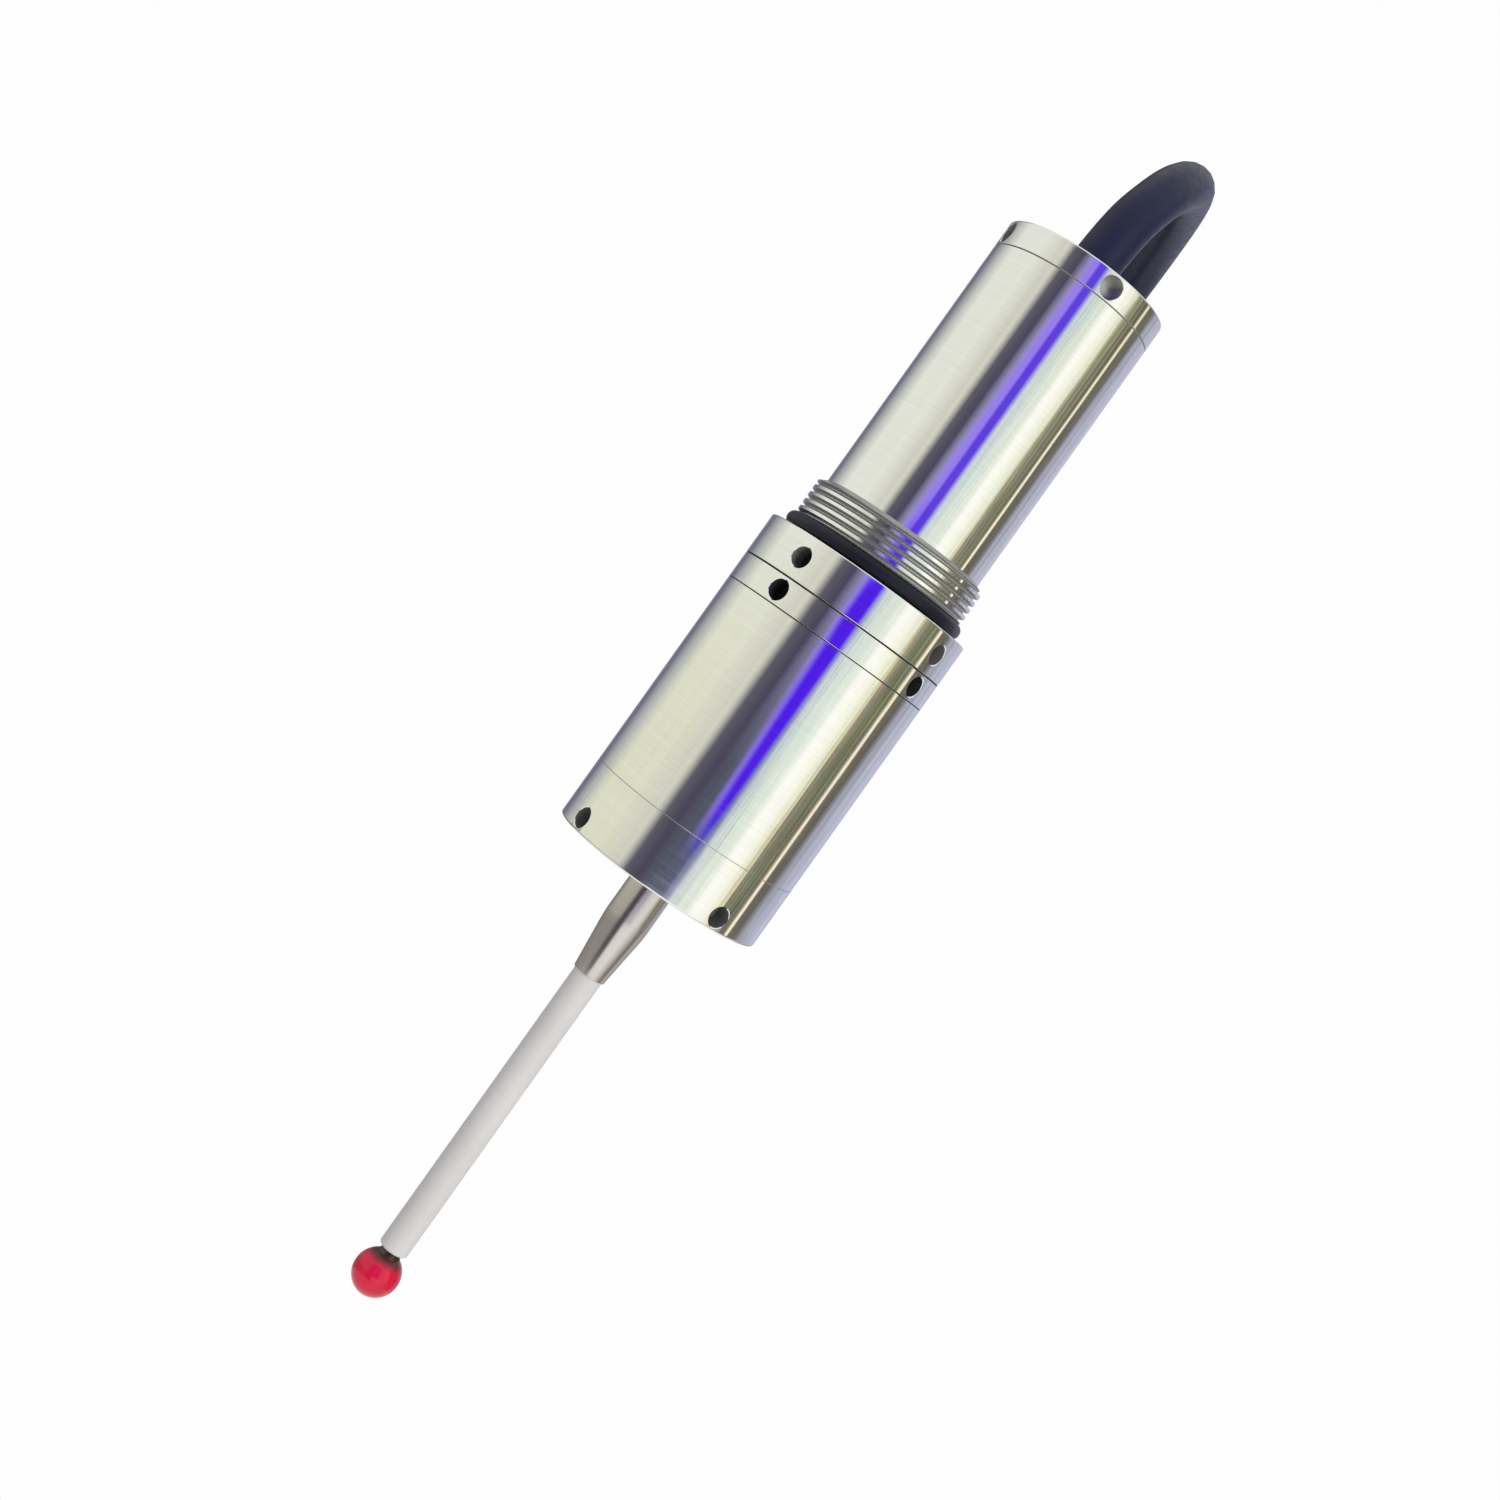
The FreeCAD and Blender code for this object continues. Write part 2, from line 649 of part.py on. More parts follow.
def make_spring_guide():
    """A threaded disc in the spigot. The spring stands against it and the plunger slides in it."""
    guide = turned("spring_guide", [
        ("plunger_stem_diameter / 2 + slide_gap", "guide_bottom"),
        ("spigot_bore_radius - screw_gap", "guide_bottom"),
        ("spigot_bore_radius - screw_gap", "guide_top"),
        ("plunger_stem_diameter / 2 + slide_gap", "guide_top"),
    ])
    hole = circle_sketch(guide, "wire_hole", "XY_Plane", "wire_hole_radius", "0", "wire_hole", "guide_bottom")
    pocket = guide.newObject("PartDesign::Pocket", "wire_hole_cut")
    pocket.Profile = hole
    pocket.setExpression("Length", bound("guide_thickness"))
    pocket.Reversed = True
    doc.recompute()
    pattern = guide.newObject("PartDesign::PolarPattern", "wire_holes")
    pattern.Originals = [pocket]
    pattern.Axis = (origin_feature(guide, "Z_Axis"), [""])
    pattern.Angle = 360
    pattern.Occurrences = WIRE_HOLES
    guide.Tip = pattern
    keep(guide, "spring_guide")


def make_spring():
    """The coil is swept along short straight runs: a swept true helix doesn't mesh as a closed solid."""
    gap = size("spring_wire / 2 + spring_end_gap")
    height = size("guide_bottom - plunger_flange_top") - 2 * gap
    radius = size("spring_diameter / 2")
    runs = round(size("spring_turns * spring_runs_a_turn"))
    step = math.radians(360 / size("spring_runs_a_turn"))
    points = []
    for index in range(runs + 1):
        x = radius * math.cos(index * step)
        y = radius * math.sin(index * step)
        points.append(FreeCAD.Vector(x, y, height * index / runs))
    section = Part.Wire(Part.makeCircle(size("spring_wire / 2"), points[0], points[1] - points[0]))
    mitred = 1
    spring = doc.addObject("Part::Feature", "preload_spring")
    spring.Shape = Part.makePolygon(points).makePipeShell([section], True, False, mitred)
    spring.Placement.Base = FreeCAD.Vector(0, 0, size("plunger_flange_top") + gap)
    keep(spring, "preload_spring")


def make_diaphragm():
    """A rubber disc with one rolled fold, clamped at its rim and gripping the stylus holder."""
    collar = "(holder_radius + diaphragm_gap)"
    roll_bottom = "diaphragm_bottom - diaphragm_roll_drop"
    diaphragm = turned("diaphragm_seal", [
        ("sleeve_nose_radius - diaphragm_gap", "diaphragm_top"),
        ("sleeve_nose_radius - diaphragm_gap", "diaphragm_bottom"),
        ("diaphragm_roll_outer / 2", "diaphragm_bottom"),
        ("diaphragm_roll_outer / 2 - diaphragm_wall", roll_bottom),
        ("diaphragm_roll_inner / 2 + diaphragm_wall", roll_bottom),
        ("diaphragm_roll_inner / 2", "diaphragm_bottom"),
        (f"{collar} + diaphragm_collar_wall", "diaphragm_bottom"),
        (f"{collar} + diaphragm_collar_wall", "diaphragm_top - diaphragm_collar_height"),
        (collar, "diaphragm_top - diaphragm_collar_height"),
        (collar, "diaphragm_bottom + diaphragm_wall"),
        ("diaphragm_roll_inner / 2 + diaphragm_wall", "diaphragm_bottom + diaphragm_wall"),
        ("diaphragm_roll_inner / 2 + 2 * diaphragm_wall", f"{roll_bottom} + diaphragm_wall"),
        ("diaphragm_roll_outer / 2 - 2 * diaphragm_wall", f"{roll_bottom} + diaphragm_wall"),
        ("diaphragm_roll_outer / 2 - diaphragm_wall", "diaphragm_top"),
    ])
    keep(diaphragm, "diaphragm_seal")


# Stylus

def make_stylus():
    stem_bore = "stem_radius + screw_gap"
    ferrule = turned("stylus_ferrule", [
        ("0", "holder_bottom + stud_length"),
        ("stud_diameter / 2 - edge", "holder_bottom + stud_length"),
        ("stud_diameter / 2", "holder_bottom + stud_length - edge"),
        ("stud_diameter / 2", "holder_bottom"),
        ("holder_radius", "holder_bottom"),
        ("holder_radius", "ferrule_shoulder"),
        ("ferrule_tip_diameter / 2", "ferrule_end"),
        (stem_bore, "ferrule_end"),
        (stem_bore, "stem_top"),
        ("0", "stem_top"),
    ])
    keep(ferrule, "stylus_ferrule")
    stem = turned("stylus_stem", [
        ("0", "stem_top"),
        ("stem_radius", "stem_top"),
        ("stem_radius", "stem_end + stem_edge"),
        ("stem_radius - stem_edge", "stem_end"),
        ("pin_diameter / 2 + screw_gap", "stem_end"),
        ("pin_diameter / 2 + screw_gap", "stem_end + pin_depth"),
        ("0", "stem_end + pin_depth"),
    ])
    keep(stem, "stylus_stem")
    pin = turned("ball_pin_blank", [
        ("0", "tip_center"),
        ("collar_diameter / 2", "tip_center"),
        ("collar_diameter / 2", "collar_end"),
        ("pin_diameter / 2", "stem_end"),
        ("pin_diameter / 2", "stem_end + pin_depth"),
        ("0", "stem_end + pin_depth"),
    ])
    # the pin's foot is hollowed to the ball that is bonded to it
    cut("ball_pin", pin, ball("ball_seat", "tip_ball", ("0", "0", "tip_center")))
    keep(ball("ruby_ball", "tip_ball", ("0", "0", "tip_center")), "ruby_ball")


# Electronics

def make_electronics():
    slot_width = "(board_width + 2 * board_slot_gap)"
    slot_depth = "(board_thickness + 2 * board_slot_gap)"
    disc = cylinder(
        "carrier_disc", "barrel_bore - 2 * carrier_gap", "carrier_thickness", ("0", "0", "carrier_level")
    )
    slot = block(
        "board_slot", (slot_width, slot_depth, "carrier_thickness"),
        (f"-{slot_width} / 2", f"-{slot_depth} / 2", "board_bottom")
    )
    cut("board_carrier", disc, slot)
    board = block(
        "circuit_board", ("board_width", "board_thickness", "board_top - board_bottom"),
        ("-board_width / 2", "-board_thickness / 2", "board_bottom")
    )
    keep(board, "circuit_board")
    chips = []
    for index, rise in enumerate(("chip_first_rise", "chip_second_rise")):
        chips.append(block(
            f"chip_{index}", ("chip_size", "chip_height", "chip_size"),
            ("-chip_size / 2", "-board_thickness / 2 - chip_height", f"board_bottom + {rise}")
        ))
    group("board_chips", chips)
    wires = []
    for side in (-1, 1):
        wires.append(cylinder(
            f"contact_wire_{side + 1}", "wire_diameter", "carrier_level - seat_ring_top",
            (f"{side} * wire_hole_radius", "0", "seat_ring_top")
        ))
    group("contact_wires", wires)
    cores = []
    for index, place in enumerate((-1.5, -0.5, 0.5, 1.5)):
        cores.append(cylinder(
            f"cable_core_{index}", "core_diameter", "core_length",
            (f"core_pitch * {place}", "0", "board_top")
        ))
    group("cable_cores", cores)


# Cable: the route's points are chosen by hand, in millimetres

def lead_route():
    """From inside the rear cap, up, over and down into the hank behind the body."""
    return [
        (0.0, 0.0, size("cable_end")),
        (0.0, 0.0, 46.3),
        (2.1, 5.3, 56.0),
        (4.4, 14.8, 61.7),
        (5.6, 34.0, 63.8),
        (6.2, 53.8, 61.3),
        (6.3, 63.4, 55.7),
        (6.3, 69.1, 46.1),
        (6.3, 69.7, 35.0),
        (6.3, 69.5, 24.0),
    ]


def tail_route():
    """From the hank's back, out behind it and down to the plug."""
    return [
        (0.0, 69.5, 15.5),
        (-0.5, 69.7, 4.4),
        (-2.6, 78.9, -11.5),
        (-2.6, 78.9, -23.0),
    ]


def cord_wire(points):
    """Straight runs joined by tangent arcs, each as large as its two runs allow."""
    corners = [FreeCAD.Vector(*point) for point in points]
    edges = []
    start = corners[0]
    radii = []
    for before, corner, after in zip(corners, corners[1:], corners[2:]):
        run = BEND_SHARE * min((corner - before).Length, (after - corner).Length)
        incoming = (corner - before).normalize()
        outgoing = (after - corner).normalize()
        half_turn = incoming.getAngle(outgoing) / 2
        radius = run / math.tan(half_turn)
        arc_start = corner - incoming * run
        arc_end = corner + outgoing * run
        inward = (outgoing - incoming).normalize()
        arc_middle = corner + inward * (radius / math.cos(half_turn) - radius)
        edges.append(Part.LineSegment(start, arc_start).toShape())
        edges.append(Part.Arc(arc_start, arc_middle, arc_end).toShape())
        start = arc_end
        radii.append(round(radius, 1))
    edges.append(Part.LineSegment(start, corners[-1]).toShape())
    return Part.Wire(edges), radii


def make_cord(label, points):
    path, radii = cord_wire(points)
    start = FreeCAD.Vector(*points[0])
    direction = FreeCAD.Vector(*points[1]) - start
    radius = size("cable_radius")
    section = Part.Wire(Part.makeCircle(radius, start, direction))
    cord = doc.addObject("Part::Feature", label)
    cord.Shape = path.makePipeShell([section], True, False)
    keep(cord, label)
    share = cord.Shape.Volume / (math.pi * radius ** 2 * path.Length)
    print(f"{label}: length {path.Length:.1f}, volume ratio {share:.4f}, arc radii {radii}")


def rounded_loop(low, high, radius, place):
    """A closed wire: a rectangle with round corners, or a slot where the radius is half its width."""
    (a0, b0), (a1, b1) = low, high
    slant = math.sin(math.radians(45))
    corners = ((a1, b0, 1, -1), (a1, b1, 1, 1), (a0, b1, -1, 1), (a0, b0, -1, -1))
    arcs = []
    for index, (a, b, side_a, side_b) in enumerate(corners):
        middle_a = a - side_a * radius
        middle_b = b - side_b * radius
        ends = [(middle_a, b), (a, middle_b)]
        if index % 2:
            ends.reverse()
        middle = (middle_a + side_a * radius * slant, middle_b + side_b * radius * slant)
        arcs.append(Part.Arc(place(*ends[0]), place(*middle), place(*ends[1])).toShape())
    edges = []
    for arc, following in zip(arcs, arcs[1:] + arcs[:1]):
        edges.append(arc)
        leave = arc.lastVertex().Point
        arrive = following.firstVertex().Point
        if leave.distanceToPoint(arrive) > 1e-6:
            edges.append(Part.LineSegment(leave, arrive).toShape())
    return Part.Wire(edges)


def make_hank():
    """The put-away length: a tied oval bundle, its folds at the top and bottom."""
    middle = size("hank_middle")
    half = size("hank_width / 2")
    low = size("hank_lower_center")
    high = size("hank_upper_center")

    def solid(radius):
        loop = rounded_loop(
            (middle - radius, low - radius), (middle + radius, high + radius), radius,
            lambda a, b: FreeCAD.Vector(-half, a, b)
        )
        return Part.Face(loop).extrude(FreeCAD.Vector(2 * half, 0, 0))

    outer = solid(size("hank_outer_radius"))
    rims = [edge for edge in outer.Edges if abs(abs(edge.CenterOfMass.x) - half) < 1e-6]
    outer = outer.makeFillet(size("hank_edge"), rims)
    hank = doc.addObject("Part::Feature", "cable_hank")
    hank.Shape = outer.cut(solid(size("hank_inner_radius")))
    keep(hank, "cable_hank")


def make_tie():
    """A strap round the hank's two legs."""
    half = size("hank_width / 2 + tie_gap")
    reach = size("hank_outer_radius + tie_gap")
    middle = size("hank_middle")
    thickness = size("tie_thickness")
    level = size("tie_level")
    corner = size("hank_edge")

    def solid(grow):
        loop = rounded_loop(
            (-half - grow, middle - reach - grow), (half + grow, middle + reach + grow), corner + grow,
            lambda a, b: FreeCAD.Vector(a, b, level)
        )
        return Part.Face(loop).extrude(FreeCAD.Vector(0, 0, size("tie_width")))

    tie = doc.addObject("Part::Feature", "hank_tie")
    tie.Shape = solid(thickness).cut(solid(0))
    keep(tie, "hank_tie")


def make_cable_fittings():
    """The grommet that the cable leaves through, and the crimp that holds it inside the cap."""
    grommet = turned("cable_grommet", [
        ("cable_hole_radius", "grommet_bottom"),
        ("grommet_diameter / 2 - cable_gap", "grommet_bottom"),
        ("grommet_diameter / 2 - cable_gap", "rear_cap_top + grommet_lip"),
        ("cable_hole_radius + 2 * grommet_lip", "rear_cap_top + grommet_waist"),
        ("cable_hole_radius + grommet_lip", "rear_cap_top + grommet_rise"),
        ("cable_hole_radius", "rear_cap_top + grommet_rise"),
    ])
    keep(grommet, "cable_grommet")
    crimp = turned("cable_crimp", [
        ("cable_hole_radius", "rear_cap_ceiling - crimp_height"),
        ("crimp_diameter / 2", "rear_cap_ceiling - crimp_height"),
        ("crimp_diameter / 2", "rear_cap_ceiling"),
        ("cable_hole_radius", "rear_cap_ceiling"),
    ])
    keep(crimp, "cable_crimp")


def make_plug():
    """A round plug on the cable's end, pointing down: grip, metal shell, insulator and four pins."""
    x, y, top = tail_route()[-1]
    body_low = f"{top} - plug_body_length"
    shell_low = f"{body_low} - plug_shell_length"
    wall = "plug_insert_diameter / 2 + plug_wall_gap"
    body = turned("plug_body", [
        ("0", f"{top}"),
        ("plug_neck_diameter / 2", f"{top}"),
        ("plug_body_diameter / 2", f"{top} - plug_taper"),
        ("plug_body_diameter / 2", body_low),
        ("0", body_low),
    ])
    shell = turned("plug_shell", [
        (wall, shell_low),
        ("plug_shell_diameter / 2 - edge", shell_low),
        ("plug_shell_diameter / 2", f"{shell_low} + edge"),
        ("plug_shell_diameter / 2", f"{body_low} - edge"),
        ("plug_shell_diameter / 2 - edge", body_low),
        (wall, body_low),
    ])
    for piece, label in ((body, "plug_body"), (shell, "plug_shell")):
        piece.Placement.Base = FreeCAD.Vector(x, y, 0)
        keep(piece, label)
    insert_low = f"{body_low} - plug_insert_length"
    place = (f"{x}", f"{y}", insert_low)
    insert = cylinder("plug_insert", "plug_insert_diameter", "plug_insert_length", place)
    keep(insert, "plug_insert")
    pins = []
    for index in range(PLUG_PINS):
        angle = (index + 0.5) * 360 / PLUG_PINS
        pins.append(cylinder(
            f"plug_pin_{index}", "plug_pin_diameter", "plug_pin_length",
            (
                f"{x} + plug_pin_circle / 2 * cos({angle} deg)",
                f"{y} + plug_pin_circle / 2 * sin({angle} deg)",
                f"{insert_low} - plug_pin_length",
            )
        ))
    group("plug_pins", pins)


def check_and_write():
    """Stops on a failed object, then writes each sub-part to its own file."""
    doc.recompute()
    for piece in doc.Objects:
        if {"Invalid", "Error"} & set(piece.State):
            raise RuntimeError(f"{piece.Name} failed: {piece.State}")
    for piece in subparts:
        if piece.Shape.isNull() or not piece.Shape.isValid():
            raise RuntimeError(f"{piece.Label} has no valid shape")
    os.makedirs("parts", exist_ok=True)
    for piece in subparts:
        piece.Shape.exportStep(f"parts/{piece.Label}.step")
    print(len(subparts), "sub-parts written")


fill_sheets()
make_rear_tube()
make_mounting_seal()
make_rings()
make_main_sleeve()
make_front_cap()
make_rear_cap()
make_seat_ring()
make_spacer()
make_hub()
make_rods()
make_plunger()
make_spring_guide()
make_spring()
make_diaphragm()
make_stylus()
make_electronics()
make_cable_fittings()
make_cord("cable_lead", lead_route())
make_hank()
make_tie()
make_cord("cable_tail", tail_route())
make_plug()
check_and_write()
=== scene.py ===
import json
import math

import bmesh
import bpy
from mathutils import Matrix, Vector


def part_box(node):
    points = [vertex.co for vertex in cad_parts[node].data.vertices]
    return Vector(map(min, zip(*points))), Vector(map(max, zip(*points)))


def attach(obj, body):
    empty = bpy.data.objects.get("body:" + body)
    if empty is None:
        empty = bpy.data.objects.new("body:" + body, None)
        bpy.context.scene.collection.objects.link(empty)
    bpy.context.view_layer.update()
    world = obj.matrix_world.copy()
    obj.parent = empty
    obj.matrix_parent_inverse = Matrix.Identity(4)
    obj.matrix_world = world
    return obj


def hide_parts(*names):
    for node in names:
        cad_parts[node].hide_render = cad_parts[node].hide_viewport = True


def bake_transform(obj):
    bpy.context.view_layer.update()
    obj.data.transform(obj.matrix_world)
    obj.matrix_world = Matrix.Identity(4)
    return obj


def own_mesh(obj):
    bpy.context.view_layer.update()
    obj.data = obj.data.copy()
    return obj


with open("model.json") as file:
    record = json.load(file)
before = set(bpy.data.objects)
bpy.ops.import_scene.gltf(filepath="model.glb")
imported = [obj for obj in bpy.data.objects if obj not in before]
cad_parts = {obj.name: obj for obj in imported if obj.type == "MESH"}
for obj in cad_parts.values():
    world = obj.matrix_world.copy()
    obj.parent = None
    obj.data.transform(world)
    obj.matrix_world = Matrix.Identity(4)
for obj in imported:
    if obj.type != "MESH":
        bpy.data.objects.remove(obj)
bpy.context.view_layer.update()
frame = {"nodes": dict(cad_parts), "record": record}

# A wired touch probe. Metres, in the CAD frame: the axis is Z, the origin is in the middle of the mounting
# thread.
MM = 0.001

# Camera, set from the photograph
CAMERA_DISTANCE = 0.246
CAMERA_LEVEL = -17.8 * MM
CAMERA_ROLL = math.radians(35.46)
CAMERA_LENS = 49.2
CAMERA_SHIFT = (-0.036, -0.052)

# Columns round the axis of a turned piece, and the smallest distance and edge that its mesh keeps
COLUMNS = 256
SEAL_COLUMNS = 160
BALL_COLUMNS = 128
SMALL_COLUMNS = 96
CUTTER_COLUMNS = 48
LEAST_DISTANCE = 0.0002 * MM
LEAST_EDGE = 0.0001 * MM

# Body, radii and small sizes
BARREL_RADIUS = 11.0 * MM
BARREL_BORE_RADIUS = 8.5 * MM
BODY_RADIUS = 14.0 * MM
GROOVE_RADIUS = 10.65 * MM
SPIGOT_RADIUS = 11.5 * MM
SPIGOT_BORE_RADIUS = 9.5 * MM
SCREW_GAP = 0.02 * MM
THREAD_RADIUS = 12.0 * MM
THREAD_PITCH = 1.0 * MM
THREAD_DEPTH = 0.58 * MM
THREAD_HALF = 2.5 * MM
THREAD_ROWS = 16
THREAD_CREST_SHARE = 0.4
THREAD_ROOT_SHARE = 0.8
THREAD_END_SLOPE = 1.8
THREAD_BRIGHT_SHARE = 0.15
BORE_STEP_LEVEL = -5.5 * MM
SIDE_MARGIN = 0.1 * MM
EDGE = 0.25 * MM
SEAM_EDGE = 0.12 * MM
WIDE_SEAM_EDGE = 0.18 * MM
CLOSE_SEAM_EDGE = 0.06 * MM
SEAL_RADIUS = 0.95 * MM
SEAL_CIRCLE = 11.65 * MM
SLEEVE_FLOOR_LEVEL = -35.7 * MM
SLEEVE_FLOOR_UNDER = -37.7 * MM
SLEEVE_FLOOR_RADIUS = 6.0 * MM
SLEEVE_LOWER_RADIUS = 9.6 * MM
SLEEVE_NOSE_RADIUS = 12.0 * MM
FRONT_OPENING_RADIUS = 7.9 * MM
DIAPHRAGM_RIM = 1.0 * MM
DIAPHRAGM_WALL = 0.25 * MM
COLLAR_BORE_RADIUS = 2.93 * MM
COLLAR_OUTER_RADIUS = 3.65 * MM
COLLAR_TOP_DROP = 0.5 * MM
COLLAR_DROP = 2.0 * MM
COLLAR_LIP = 0.12 * MM
# The diaphragm's fold in three rings, from the rim in to the collar: radius and drop below the sleeve's nose.
# Each ring also names the two bodies at its edges.
FOLD_RINGS = [
    ("seal_fold_outer", "housing", "plunger",
     [(8.1, 0.6), (7.75, 0.7), (7.67, 1.0), (7.62, 1.4), (7.5, 1.8), (7.2, 2.05)]),
    ("seal_fold_middle", "plunger", "swivel_ball",
     [(7.2, 2.05), (6.7, 2.02), (6.2, 1.96), (5.7, 1.87), (5.25, 1.75)]),
    ("seal_fold_inner", "swivel_ball", "stylus",
     [(5.25, 1.75), (4.9, 1.6), (4.55, 1.35), (4.2, 0.98), (3.9, 0.7), (3.6, 0.6)]),
]
CAP_PLUG_LENGTH = 4.0 * MM
CAP_RECESS_RADIUS = 6.3 * MM
CAP_ROOF = 3.9 * MM
GROMMET_RADIUS = 4.3 * MM
GROMMET_DEPTH = 1.5 * MM
GROMMET_GAP = 0.05 * MM
GROMMET_LIP = 0.15 * MM
GROMMET_FLARE = 2.2

# Spanner holes: radius, depth, angles from +X, level above the piece's lower face
HOLE_RADIUS = 1.325 * MM
HOLE_DEPTH = 2.6 * MM
HOLE_EDGE = 0.12 * MM
CUTTER_REACH = 1.0 * MM
RING_HOLE_ANGLE = -34.5
FRONT_HOLE_ANGLE = -53.0
FRONT_HOLE_RISE = 1.7 * MM
REAR_HOLE_ANGLE = -73.0
REAR_HOLE_RADIUS = 1.4 * MM

# Preload spring
SPRING_WIRE_RADIUS = 0.45 * MM
SPRING_TURNS = 6
SPRING_CLOSED_TURNS = 0.8

# Painted shade that darkens holes, the seams between pieces and the thread's grooves, from 0 for none to 1
DEEP_PAINTED_SHADE = 1.0
LIGHT_PAINTED_SHADE = 0.75
FAINT_PAINTED_SHADE = 0.6
THREAD_PAINTED_SHADE = 0.5
# The rear cap's spanner holes get a lighter painted shade.
REAR_HOLE_PAINTED_SHADE = 0.4
PAINTED_SHADE_COVER = 0.96
PAINTED_SHADE_DULLNESS = 0.45

# Stylus
HOLDER_RADIUS = 2.9 * MM
HOLDER_EDGE = 0.12 * MM
STUD_RADIUS = 2.0 * MM
STUD_LENGTH = 6.0 * MM
FERRULE_TAPER = 7.3 * MM
FERRULE_SHOULDER_EDGE = 0.9 * MM
FERRULE_TIP_RADIUS = 2.125 * MM
FERRULE_TIP_EDGE = 0.06 * MM
STEM_EDGE = 0.3 * MM
PIN_RADIUS = 1.15 * MM
PIN_WAIST_RADIUS = 1.27 * MM
PIN_WAIST_SHARE = 0.35
COLLAR_RADIUS = 1.5 * MM
COLLAR_LENGTH = 0.8 * MM

# Cable: the route's points are those of the CAD source
CABLE_RADIUS = 3.1 * MM
LEAD_ROUTE = [
    (0.0, 0.0, 35.0), (0.0, 0.0, 46.3), (2.1, 5.3, 56.0), (4.4, 14.8, 61.7), (5.6, 34.0, 63.8),
    (6.2, 53.8, 61.3), (6.3, 63.4, 55.7), (6.3, 69.1, 46.1), (6.3, 69.7, 35.0), (6.3, 69.5, 24.0),
]
TAIL_ROUTE = [(0.0, 69.5, 15.5), (-0.5, 69.7, 4.4), (-2.6, 78.9, -11.5), (-2.6, 78.9, -23.0)]
HANK_MIDDLE = 44.9
HANK_UPPER = 15.6
HANK_LOWER = -22.6
HANK_OUTER = 24.8
HANK_INNER = 18.6
HANK_COLUMN = 6.3
LEG_BOW = 0.25

# Strap
STRAP_THICKNESS = 1.1 * MM
STRAP_CORNER = 2.6 * MM
STRAP_EDGE = 0.25 * MM

# Plug: the grip's neck has ribs over most of its taper, and the shell is knurled
NECK_RADIUS = 4.0 * MM
NECK_EDGE = 0.2 * MM
GRIP_RADIUS = 5.4 * MM
GRIP_TAPER = 6.0 * MM
PLUG_EDGE = 0.3 * MM
RIBS = 4
RIB_START_SHARE = 0.12
RIB_DEPTH = 0.3 * MM
RIB_ROOT_SHARE = 0.35
RIB_CREST_SHARE = 0.7
SHELL_RADIUS = 6.2 * MM
SHELL_BORE_RADIUS = 4.3 * MM
KNURL_FLUTES = 36
KNURL_DEPTH = 0.25 * MM
KNURL_LOW_MARGIN = 2.0 * MM
KNURL_HIGH_MARGIN = 1.2 * MM

# World and lamps: name, azimuth, distance from the axis, level, width, height and power of each
WORLD_COLOR = (0.92, 0.95, 1.0, 1)
WORLD_STRENGTH = 0.58
LIGHTS = [
    ("strip_light", 38, 1.1, 0.1, 0.5, 1.3, 8.0),
    ("left_light", -85, 1.3, 0.5, 1.0, 1.2, 2.0),
    ("top_light", 150, 1.0, 1.3, 1.2, 1.2, 4.0),
]

# Floor and backdrop, one sheet with a curve between them, seen as white in this share
FLOOR_COLOR = (0.92, 0.92, 0.92, 1)
FLOOR_WHITE_SHARE = 0.97
FLOOR_LEVEL = -0.8
FLOOR_HALF_WIDTH = 5.0
FLOOR_FRONT = -4.0
FLOOR_BACK = 1.6
BACKDROP_CURVE = 0.8
BACKDROP_TOP = 4.0

# The studio that the polished body mirrors: a colour at each azimuth, which is 0 on the camera's side and
# grows towards +X. Its lower part, which the sleeve's end mirrors, and its foot, which the stylus mirrors,
# have colours of their own.
STUDIO_RADIUS = 1.2
STUDIO_BOTTOM = -0.78
STUDIO_TOP = 1.0
STUDIO_GAIN = 1.25
LILAC_GREY = (0.29, 0.29, 0.37)
EDGE_LILAC = (0.17, 0.17, 0.23)
COOL_GREY = (0.45, 0.475, 0.47)
CREAM = (0.76, 0.77, 0.74)
LOW_CREAM = (0.71, 0.72, 0.595)
WARM_GREY = (0.62, 0.62, 0.57)
SLATE = (0.105, 0.10, 0.14)
DEEP_SLATE = (0.068, 0.062, 0.108)
LOW_SLATE = (0.078, 0.088, 0.13)
LOW_INDIGO = (0.095, 0.105, 0.175)
DUSK = (0.205, 0.215, 0.36)
LAVENDER = (0.30, 0.28, 0.52)
PALE_LAVENDER = (0.42, 0.43, 0.72)
MINT = (0.52, 0.59, 0.61)
PALE_MINT = (0.62, 0.71, 0.62)
WHITE = (1.0, 1.0, 1.0)
PEARL = (0.92, 0.93, 0.83)
IVORY = (0.84, 0.81, 0.63)
STRAW = (0.58, 0.53, 0.37)
OLIVE = (0.155, 0.16, 0.108)
BROWN = (0.105, 0.098, 0.068)
APRICOT = (1.0, 0.82, 0.62)
UMBER = (0.13, 0.12, 0.11)
LILAC = (0.41, 0.41, 0.54)
LIGHT_LILAC = (0.52, 0.52, 0.70)
VIOLET = (0.075, 0.012, 0.86)
PALE_VIOLET = (0.30, 0.20, 0.95)
HIGH_VIOLET = (0.11, 0.05, 0.78)
STUDIO = [
    (-180, LILAC_GREY), (-150, EDGE_LILAC), (-126, COOL_GREY), (-106, CREAM), (-68, CREAM),
    (-46, WARM_GREY), (-39, WARM_GREY), (-30, SLATE), (-17, DEEP_SLATE), (-6, LAVENDER), (12, LAVENDER),
    (18, PALE_LAVENDER), (26, MINT), (40, PALE_MINT), (47, WHITE), (52, WHITE), (57, PEARL), (63, IVORY),
    (68, STRAW), (74, OLIVE), (93.6, BROWN), (94.8, APRICOT), (96.8, APRICOT), (98, BROWN), (110, UMBER),
    (118, LILAC_GREY), (134, LILAC), (160, LIGHT_LILAC), (180, LILAC_GREY),
]
LOW_CHANGES = {-106: LOW_CREAM, -68: LOW_CREAM, -6: LOW_SLATE, 12: LOW_INDIGO, 18: DUSK}
LOW_LEVELS = (-0.1, 0.09)
